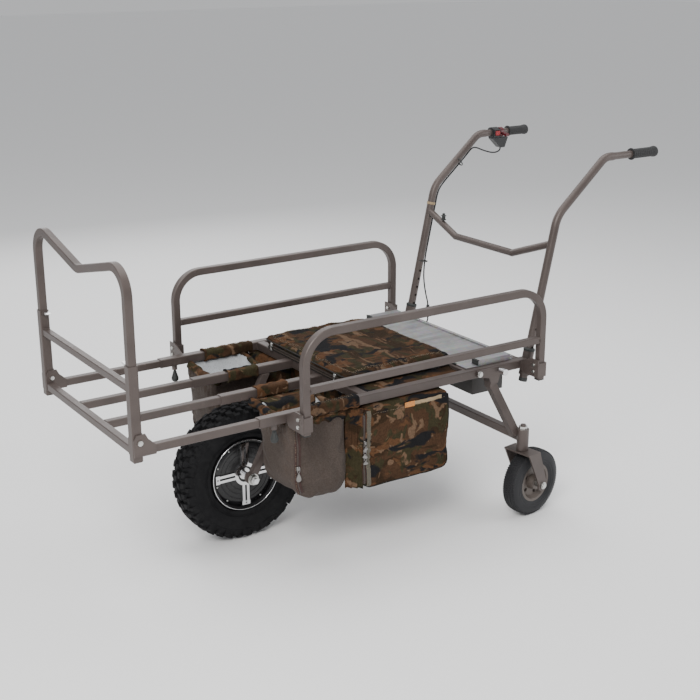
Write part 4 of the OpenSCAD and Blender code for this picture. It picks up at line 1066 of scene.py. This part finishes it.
FRONT_BAG = [(-0.4395, 0.4490), (-0.4400, 0.4300), (-0.4360, 0.4000), (-0.4300, 0.3600),
             (-0.4260, 0.3100), (-0.4250, 0.2700), (-0.4170, 0.2380), (-0.3990, 0.2190),
             (-0.3720, 0.2100), (-0.3200, 0.2075), (-0.2800, 0.2080), (-0.2600, 0.2130),
             (-0.2520, 0.2260), (-0.2505, 0.2600), (-0.2505, 0.4490)]
REAR_LOW, REAR_HIGH = (-0.213, 0.2075), (0.0855, 0.4485)
REAR_BAG = rounded_outline(REAR_LOW, REAR_HIGH, 0.022, 6)
FRONT_IN, FRONT_OUT = 0.134, 0.3055
REAR_IN, REAR_OUT = 0.188, 0.331
MOUTH_LOW, MOUTH_HIGH = (-0.434, 0.141), (-0.256, 0.300)
MOUTH_LIP = 0.013
MOUTH_SINK = 0.060


def mouth_depth(x, y, tuck=0.0):
    """How far the open mouth of a front bag sinks at (x, y), 0 on its rim, or tuck inside it."""
    (x0, y0), (x1, y1) = MOUTH_LOW, MOUTH_HIGH
    inset = min(x - x0, x1 - x, y - y0, y1 - y) - tuck
    share = clamp(inset / MOUTH_LIP, 0.0, 1.0)
    return (MOUTH_SINK - tuck) * share * share * (3 - 2 * share)


def front_bag():
    """The plain cloth bag on the +Y side, with its mouth open between the two rails."""
    shape = pouch(FRONT_BAG, FRONT_IN, FRONT_OUT, 0.011, 0.004)

    def creases(p):
        return 0.35 if p.y < 0.15 or p.z > 0.43 else 1.0 + 0.8 * max(0.0, (0.30 - p.z) / 0.1)

    ruffle(shape, 9, 0.0055, 2.0, creases)
    shape = sewn(shape, "front_bag", lambda p: p.z > 0.440 or p.y < FRONT_IN + 0.006
                 or (p.x < -0.412 and p.y > FRONT_OUT - 0.012))
    done = []
    for x, y, z in shape.verts:
        # drawn-in pleats under the hem, two slack diagonal folds on the outer face
        near_top = clamp((z - 0.375) / 0.05, 0.0, 1.0)
        if x < -0.405:
            x += near_top * 0.0035 * (1 + math.sin(y * 330))
        if y > 0.28:
            y -= near_top * 0.0016 * (1 + math.sin(x * 240))
            for offset, deep in ((0.205, 0.0045), (0.150, 0.0030)):
                y -= deep * math.exp(-((x + (z - 0.2) * 0.5 + offset + 0.10) / 0.011) ** 2)
        if z > 0.436:
            z -= mouth_depth(x, y)
        done.append((x, y, z))
    shape.verts = kept_within(done, (-0.4435, 0.1305, 0), (-0.2495, 0.3180, 0.4505))
    return shape


def rear_bag():
    """The camouflage bag behind it, on the +Y side."""
    shape = pouch(REAR_BAG, REAR_IN, REAR_OUT, 0.009, 0.004, 120)
    ruffle(shape, 10, 0.0045, 5.0, lambda p: 0.3 if p.z > 0.43 else 1.0)

    def held(p):
        inset = min(p.x - REAR_LOW[0], REAR_HIGH[0] - p.x, p.z - REAR_LOW[1])
        on_edge = inset < 0.010 and p.y > REAR_OUT - 0.012
        return p.z > 0.442 or p.y < REAR_IN + 0.006 or on_edge

    shape = sewn(shape, "rear_bag", held, cap=0.008)
    shape.verts = kept_within(shape.verts, (-0.2165, 0.1835, 0), (0.0890, 0.3430, 0.4510))
    return shape


BAG_SKIN_Y = 0.345
FROM_OUTSIDE = 0.5


def on_face(meet, x, z, lift=0.0):
    """The point of a bag's outer face at (x, z), raised by lift."""
    p = meet((x, FROM_OUTSIDE, z), (0, -1, 0))
    return Vector((x, min(p.y, BAG_SKIN_Y) + lift, z))


def seams_along(path, offsets, lift):
    """Rows of stitching beside a path on a bag's outer face."""
    seam = Shape()
    for offset in offsets:
        seam.joined(stitches([p + Vector((offset, lift, 0)) for p in path], (0, 1, 0)))
    return seam


def bag_zips(on_plain, on_camo):
    """Zips down the plain bag's front corner and the camouflage bag's front edge."""
    run = []
    for k in range(24):
        z = 0.436 - 0.0088 * k
        x = -0.4145 + 0.016 * max(0.0, (0.262 - z) / 0.04) ** 1.5
        run.append(on_face(on_plain, x, z, 0.0012))
    tape, teeth = zip_line(run, (-0.35, 1, 0), 0.0085)
    rear_run = [on_face(on_camo, -0.2100, 0.436 - 0.0092 * k, 0.0008) for k in range(24)]
    rear_tape, rear_teeth = zip_line(rear_run, (-0.6, 1, 0), 0.0050)
    tape.joined(rear_tape)
    teeth.joined(rear_teeth)
    pulls = puller(run[14] + Vector((0, 0.0015, 0)), (-0.2, 1, 0), 0.026)
    for z, turn in ((0.348, -0.1), (0.326, -0.6), (0.306, -0.2)):
        pulls.joined(puller(on_face(on_camo, -0.2080, z, 0.0010), (turn, 1, 0), 0.011))
    return tape, teeth, pulls, seams_along(run, (-0.0068, 0.0068), 0.0012)


def bag_trimming(on_camo, seam):
    """Binding beside the zip, hem stitching, edge piping and the two blank woven labels."""
    strip = [on_face(on_camo, -0.1990, 0.440 - 0.0038 * k, 0.0006) for k in range(60)]
    binding = ribbon(strip, (1, 0, 0), (0, 1, 0), 0.0135, 0.0016)
    seam.joined(seams_along(strip, (-0.0052, 0.0052), 0.0018))
    hem = [on_face(on_camo, -0.1850 + 0.0105 * k, 0.4290, 0.0006) for k in range(25)]
    seam.joined(stitches(hem, (0, 1, 0)))
    rim = [(-0.064 + (x + 0.064) * 0.982, z + (0.328 - z) * 0.018) for x, z in resampled(REAR_BAG, 100)]
    edge = [on_face(on_camo, x, z, 0.0004) for x, z in rim if z < 0.436]
    first = max(range(len(edge)), key=lambda i: (edge[i] - edge[i - 1]).length)
    piping = Shape().sweep(edge[first:] + edge[:first], round_section(0.0021, 8))
    label_z = 0.4325
    tab = ribbon([on_face(on_camo, -0.078 + 0.0058 * k, label_z, 0.0010) for k in range(7)],
                 (0, 0, 1), (0, 1, 0), 0.0150, 0.0016)
    tag = ribbon([on_face(on_camo, -0.043 + 0.0080 * k, label_z + 0.0005, 0.0008) for k in range(13)],
                 (0, 0, 1), (0, 1, 0), 0.0110, 0.0012)
    return binding, piping, tab, tag


def sheet_of(rows, behind, below):
    """A thin closed sheet: rows of points, each with a second skin behind and below it."""
    return Shape().grid([row + [(x, y - behind, z - below) for x, y, z in reversed(row)]
                         for row in rows])


def bag_bellows():
    """The pleated gusset between the two bags."""
    rows = []
    for k in range(25):
        z = 0.4480 - 0.0099 * k
        row = []
        for j in range(17):
            t = j / 16
            fold = 0.0085 * abs(math.sin(t * 9.4)) * (0.7 + 0.3 * math.sin(z * 40))
            y = FRONT_OUT - 0.008 + (REAR_OUT - FRONT_OUT + 0.004) * t - fold
            row.append((-0.2535 + 0.0405 * t, y, z))
        rows.append(row)
    return ruffle(sheet_of(rows, 0.003, 0), 20, 0.0020, 4.0)


def mouth_hems():
    """Rolled camouflage hems across the front and rear of the bag's mouth."""
    rolls = Shape()
    for x, size, z0 in ((-0.4370, 1.0, 0.4475), (-0.2560, 0.62, 0.4500)):
        path = [(x + 0.004 * math.sin(k * 0.45), 0.1015 + 0.1815 * k / 20,
                 z0 - 0.0035 * math.sin(math.pi * k / 20)) for k in range(21)]
        rolls.sweep(path, lambda t: [(0.0135 * size * math.cos(q) * (1 + 0.10 * math.sin(t * 19)),
                                      0.0115 * size * math.sin(q) * (1 + 0.12 * math.sin(t * 13 + 1)))
                                     for q in turns(16)])
    return ruffle(rolls, 24, 0.0028, 3.0)


def mouth_lining():
    """The net lining, which follows the sunk mouth just above the bag's own cloth."""
    rows = []
    for k in range(27):
        row = []
        for j in range(25):
            y = 0.1400 + 0.1575 * j / 24
            start = -0.4365 + 0.0140 * clamp((y - 0.268) / 0.012, 0.0, 1.0)
            x = start + (-0.2605 - start) * k / 26
            sag = 0.0025 * noise.noise(Vector((x * 30, y * 30, 2)))
            row.append((x, y, 0.4520 - mouth_depth(x, y, 0.0032) + sag))
        rows.append(row)
    return sheet_of(rows, 0, 0.0012)


def mouth_flap():
    """The camouflage flap that hangs from the inner rail over the mouth's inner rim."""
    fall = smooth_path([Vector((0, y, z)) for y, z in (
        (0.1010, 0.4500), (0.1200, 0.4528), (0.1400, 0.4542), (0.1510, 0.4532), (0.1580, 0.4480),
        (0.1612, 0.4390), (0.1630, 0.4280), (0.1640, 0.4130), (0.1645, 0.4000))], 3)
    rows = []
    for k, p in enumerate(fall):
        slack = k / (len(fall) - 1)
        rows.append([(-0.4200 + 0.1560 * j / 52, p.y + 0.0022 * math.sin(j * 0.46) * slack ** 2,
                      p.z + 0.0006 * math.sin(j * 0.31)) for j in range(53)])
    return sheet_of(rows, 0.0014, 0.0010)


def bed_web():
    """Cloth that closes the bed between the outer rail and the padded cover."""
    rows = []
    for k in range(29):
        x = -0.1700 + 0.3300 * k / 28
        slack = 0.0030 * (1 + 0.4 * math.sin(k * 0.8))
        rows.append([(x, 0.2240 + 0.0620 * j / 8,
                      0.4755 - 0.0045 * j / 8 - slack * math.sin(math.pi * j / 8)) for j in range(9)])
    return sheet_of(rows, 0, 0.0014)


def side_bags():
    """Both bags and their trim, made on the +Y side and mirrored for the other."""
    plain, camo = front_bag(), rear_bag()
    on_plain, on_camo = skin(plain), skin(camo)
    tape, teeth, pulls, seam = bag_zips(on_plain, on_camo)
    binding, piping, tab, tag = bag_trimming(on_camo, seam)
    hem = ribbon([on_face(on_plain, -0.404 + 0.0073 * k, 0.4370, 0.0012 + 0.0006 * math.sin(k * 1.1))
                  for k in range(22)], (0, 0, 1), (0, 1, 0), 0.0240, 0.0022)
    ruffle(hem, 34, 0.0014, 1.0)

    parts = [
        ("front_bag", plain, "bag_fabric", "bag_fabric", 1, 180),
        ("rear_bag", camo, "camo_fabric", "camo_fabric", 1, 180),
        ("zip_tapes", tape, "zip_tape", "bag_fabric", 0, 50),
        ("zip_teeth", teeth, "zip_coil", "bag_fabric", 0, 50),
        ("zip_pullers", pulls, "zip_metal", "bright_steel", 0, 50),
        ("bag_binding", binding, "binding", "bag_fabric", 0, 50),
        ("bag_piping", piping, "piping", "bag_fabric", 0, 50),
        ("bag_tab", tab, "patch", "bag_fabric", 0, 50),
        ("bag_tag", tag, "patch_tan", "bag_fabric", 0, 50),
        ("bag_hem", hem, "camo_fabric", "camo_fabric", 0, 180),
        ("bag_bellows", bag_bellows(), "camo_fabric", "camo_fabric", 0, 180),
        ("mouth_hems", mouth_hems(), "camo_fabric", "camo_fabric", 0, 180),
        ("mouth_lining", mouth_lining(), "net", "bag_fabric", 0, 180),
        ("mouth_flap", mouth_flap(), "camo_fabric", "camo_fabric", 0, 180),
        ("bed_web", bed_web(), "camo_fabric", "camo_fabric", 0, 180),
        ("bag_stitching", seam, "thread", "bag_fabric", 0, 50),
    ]
    for name, side in SIDES.items():
        for label, shape, look, slot, level, sharp in parts:
            gone = [f"{name}_pockets"] if label == "front_bag" else ()
            piece(f"{name}_{label}", shape if side > 0 else shape.mirrored(), look,
                                "frame", gone, level, sharp)


def rail_sleeve(x0, x1, y, seed):
    """Cloth laced round a square rail: bulged, creased, with a turned hem at each end."""
    count = max(10, int((x1 - x0) / 0.005))
    rows = []
    for k in range(count + 1):
        x = x0 + (x1 - x0) * k / count
        near_end = min(k, count - k) / 2.0
        grow = 0.0028 + 0.0010 * math.sin(k * 0.9 + seed) + (0.0014 if near_end < 1 else 0)
        half = RAIL_W / 2 + grow
        ring = resampled(rounded_outline((-half, -half), (half, half), 0.007, 4), 36)
        rows.append([(x, y + a, RAIL_Z + b) for a, b in ring])
    inner = [[(p[0], y + (p[1] - y) * 0.84, RAIL_Z + (p[2] - RAIL_Z) * 0.84) for p in row]
             for row in (rows[-1], rows[0])]
    return ruffle(Shape().grid(rows + inner, loop=True), 34, 0.0012, seed)


def rail_covers():
    """Stitched camouflage sleeves on the outer and inner rails."""
    wrap_low, wrap_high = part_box("rail_wraps")
    x0, x1 = wrap_low.x + 0.034, wrap_high.x
    for name, side in SIDES.items():
        sleeves = rail_sleeve(x0, x1, side * RAIL_Y, 1.3 * side)
        sleeves.joined(rail_sleeve(wrap_low.x, -0.3190, side * INNER_Y, 2.1 * side))
        piece(f"{name}_rail_sleeves", sleeves, "camo_fabric", "frame",
              ["rail_wraps"] if side > 0 else ())
        seam = Shape()
        for s in (-1, 1):
            run = [(x0 + 0.004 + k * 0.01, side * RAIL_Y + s * 0.004, RAIL_TOP + 0.0046)
                   for k in range(int((x1 - x0) / 0.01))]
            seam.joined(stitches(run, (0, 0, 1)))
        piece(f"{name}_sleeve_stitching", seam, "thread", "frame")


COVER_LOW, COVER_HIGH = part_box("deck_cover")
COVER_BASE = RAIL_TOP + 0.0006
COVER_EDGE = 0.009
COVER_TOP = COVER_HIGH.z - 0.0035


def cover_outline(inset, corner, count):
    """Points round the cover's rounded rectangle, inset from its edge."""
    low = (COVER_LOW.x + inset, COVER_LOW.y + inset)
    high = (COVER_HIGH.x - inset, COVER_HIGH.y - inset)
    return resampled(rounded_outline(low, high, corner, 6), count)


def cover_pad():
    """The padded lid of the middle bag; returns the finished Shape."""
    low, high, base, tall = COVER_LOW, COVER_HIGH, COVER_BASE, COVER_TOP
    cx, cy = (low.x + high.x) / 2, 0.0
    crown = 0.0030

    def ring(inset, z, share=1.0):
        return [(cx + (x - cx) * share, cy + (y - cy) * share, z)
                for x, y in cover_outline(inset, 0.022, 180)]

    shares = (0.96, 0.91, 0.84, 0.76, 0.67, 0.57, 0.46, 0.34, 0.21, 0.08)
    rows = [ring(0.008, base + 0.0004, share) for share in reversed(shares)]
    wall = ((0.0060, base + 0.0006), (0.0040, base + 0.0040), (0.0044, base + 0.0090),
            (0.0044, tall - 0.0190), (0.0014, tall - 0.0160), (0.0004, tall - 0.0100))
    rows += [ring(inset, z) for inset, z in wall]
    for k in range(1, 6):
        a = math.pi / 2 * k / 5
        rows.append(ring(COVER_EDGE * (1 - math.cos(a)), tall - 0.0095 + 0.0085 * math.sin(a)))
    rows += [ring(COVER_EDGE, tall - 0.001 + crown * (1 - share ** 2), share) for share in shares]
    pad = Shape().grid(rows)
    pad.verts = [(x, y, z + (0.0016 * noise.noise(Vector((x * 10, y * 7, 3.1))) if z > tall - 0.006 else 0))
                 for x, y, z in pad.verts]
    pad = sewn(pad, "deck_pad", lambda p: p.z < tall - 0.006, voxel=0.0065, cap=0.0055, pressure=3.0,
               grow=0.03)
    done = []
    for x, y, z in pad.verts:
        # sewn channels: one behind the front edge, one along each side
        if z > tall - 0.008:
            z -= 0.0030 * math.exp(-((x - low.x - 0.034) / 0.0045) ** 2)
            z -= 0.0016 * math.exp(-((abs(y) - 0.180) / 0.0035) ** 2)
        done.append((x, y, z))
    pad.verts = kept_within(done, (low.x, low.y, base), (high.x, high.y, high.z + 0.0015))
    obj = piece("deck_cover_pad", pad, "camo_cover", "frame", ["deck_cover"],
                subdivide=1, sharp=180)
    return pad


def cover_trim(pad):
    """Piping, the double zip round the front and sides, its pullers and the edge stitching."""
    low, high, base = COVER_LOW, COVER_HIGH, COVER_BASE
    pipe, tape, teeth, seam, pulls = Shape(), Shape(), Shape(), Shape(), Shape()
    for z, radius, inset in ((COVER_TOP - 0.0105, 0.0022, 0.0006), (base + 0.0020, 0.0020, 0.0040)):
        pipe.sweep([(x, y, z) for x, y in cover_outline(inset, 0.022, 150)], round_section(radius, 8),
                   closed_path=True)
    piece("deck_cover_piping", pipe, "piping", "frame")
    for z in (base + 0.0070, base + 0.0145):
        front = [(low.x + 0.0030, low.y + 0.030 + (high.y - low.y - 0.060) * k / 10, z)
                 for k in range(11)]
        runs = [(front, (-1, 0, 0))]
        for side in (-1, 1):
            runs.append(([(low.x + 0.030 + (high.x - low.x - 0.09) * k / 10, side * (high.y - 0.0030), z)
                          for k in range(11)], (0, side, 0)))
        for run, out in runs:
            a, b = zip_line(run, out, 0.0034)
            tape.joined(a)
            teeth.joined(b)
    piece("deck_cover_zips", tape, "piping", "frame")
    piece("deck_cover_zip_teeth", teeth, "zip_coil", "frame")
    for y in (low.y + 0.060, high.y - 0.050):
        pulls.joined(puller((low.x + 0.0030, y, base + 0.0200), (-1, 0, 0), 0.008))
    piece("deck_cover_pullers", pulls, "zinc_steel", "frame")
    on_pad = skin(pad)
    for inset in (0.0165, 0.0205):
        path = [on_pad((x, y, 0.6), (0, 0, -1)) + Vector((0, 0, 0.0002))
                for x, y in cover_outline(inset, 0.018, 150)]
        seam.joined(stitches(path + path[:1], (0, 0, 1)))
    piece("deck_cover_stitching", seam, "thread", "frame")


def middle_bag():
    """The bag hung under the cover: a slack box whose walls belly out between its corners."""
    x0, x1, y1, z0, z1 = -0.1640, 0.1590, 0.1745, 0.3640, 0.4508
    lowest, highest = 0.3610, 0.4515
    rows = []
    for k in range(19):
        t = k / 18
        tuck = 0.010 * (1 - math.sin(min(1.0, t * 4) * math.pi / 2)) + 0.004 * math.sin(math.pi * t)
        z = z0 + (z1 - z0) * t - 0.004 * math.sin(math.pi * min(1.0, t * 3))
        corners = (x0 + 0.002 + tuck, tuck - y1), (x1 - 0.002 - tuck, y1 - tuck)
        outline = resampled(rounded_outline(*corners, 0.024, 6), 120)
        rows.append([(x, y, z) for x, y in outline])
    bag = ruffle(Shape().grid(rows), 14, 0.0032, 6.0)
    bag.verts = kept_within(bag.verts, (x0, -y1, lowest), (x1, y1, highest))
    obj = piece("middle_bag", bag, "camo_fabric", "frame", subdivide=1, sharp=60)
    binding = Shape()
    for side in (-1, 1):
        for x in (-0.1660, 0.1600):
            path = [(x, side * (0.1000 + 0.1290 * k / 10), 0.4770 - 0.0010 * math.sin(k))
                    for k in range(11)]
            binding.joined(ribbon(path, (0, 0, 1), (math.copysign(1, x), 0, 0), 0.0040, 0.0015))
    piece("middle_bag_binding", binding, "piping", "frame")


make_camera()
MATS = make_materials()
make_lights()
make_floor()
paint_nodes()
front_tyre()
wheel_trim()
caster_tyres()
grips()
cables()
cable_ties()
crossbar_trim()
handle_feet()
frame_trim()
weld_beads()
rail_covers()
side_bags()
cover_trim(cover_pad())
middle_bag()
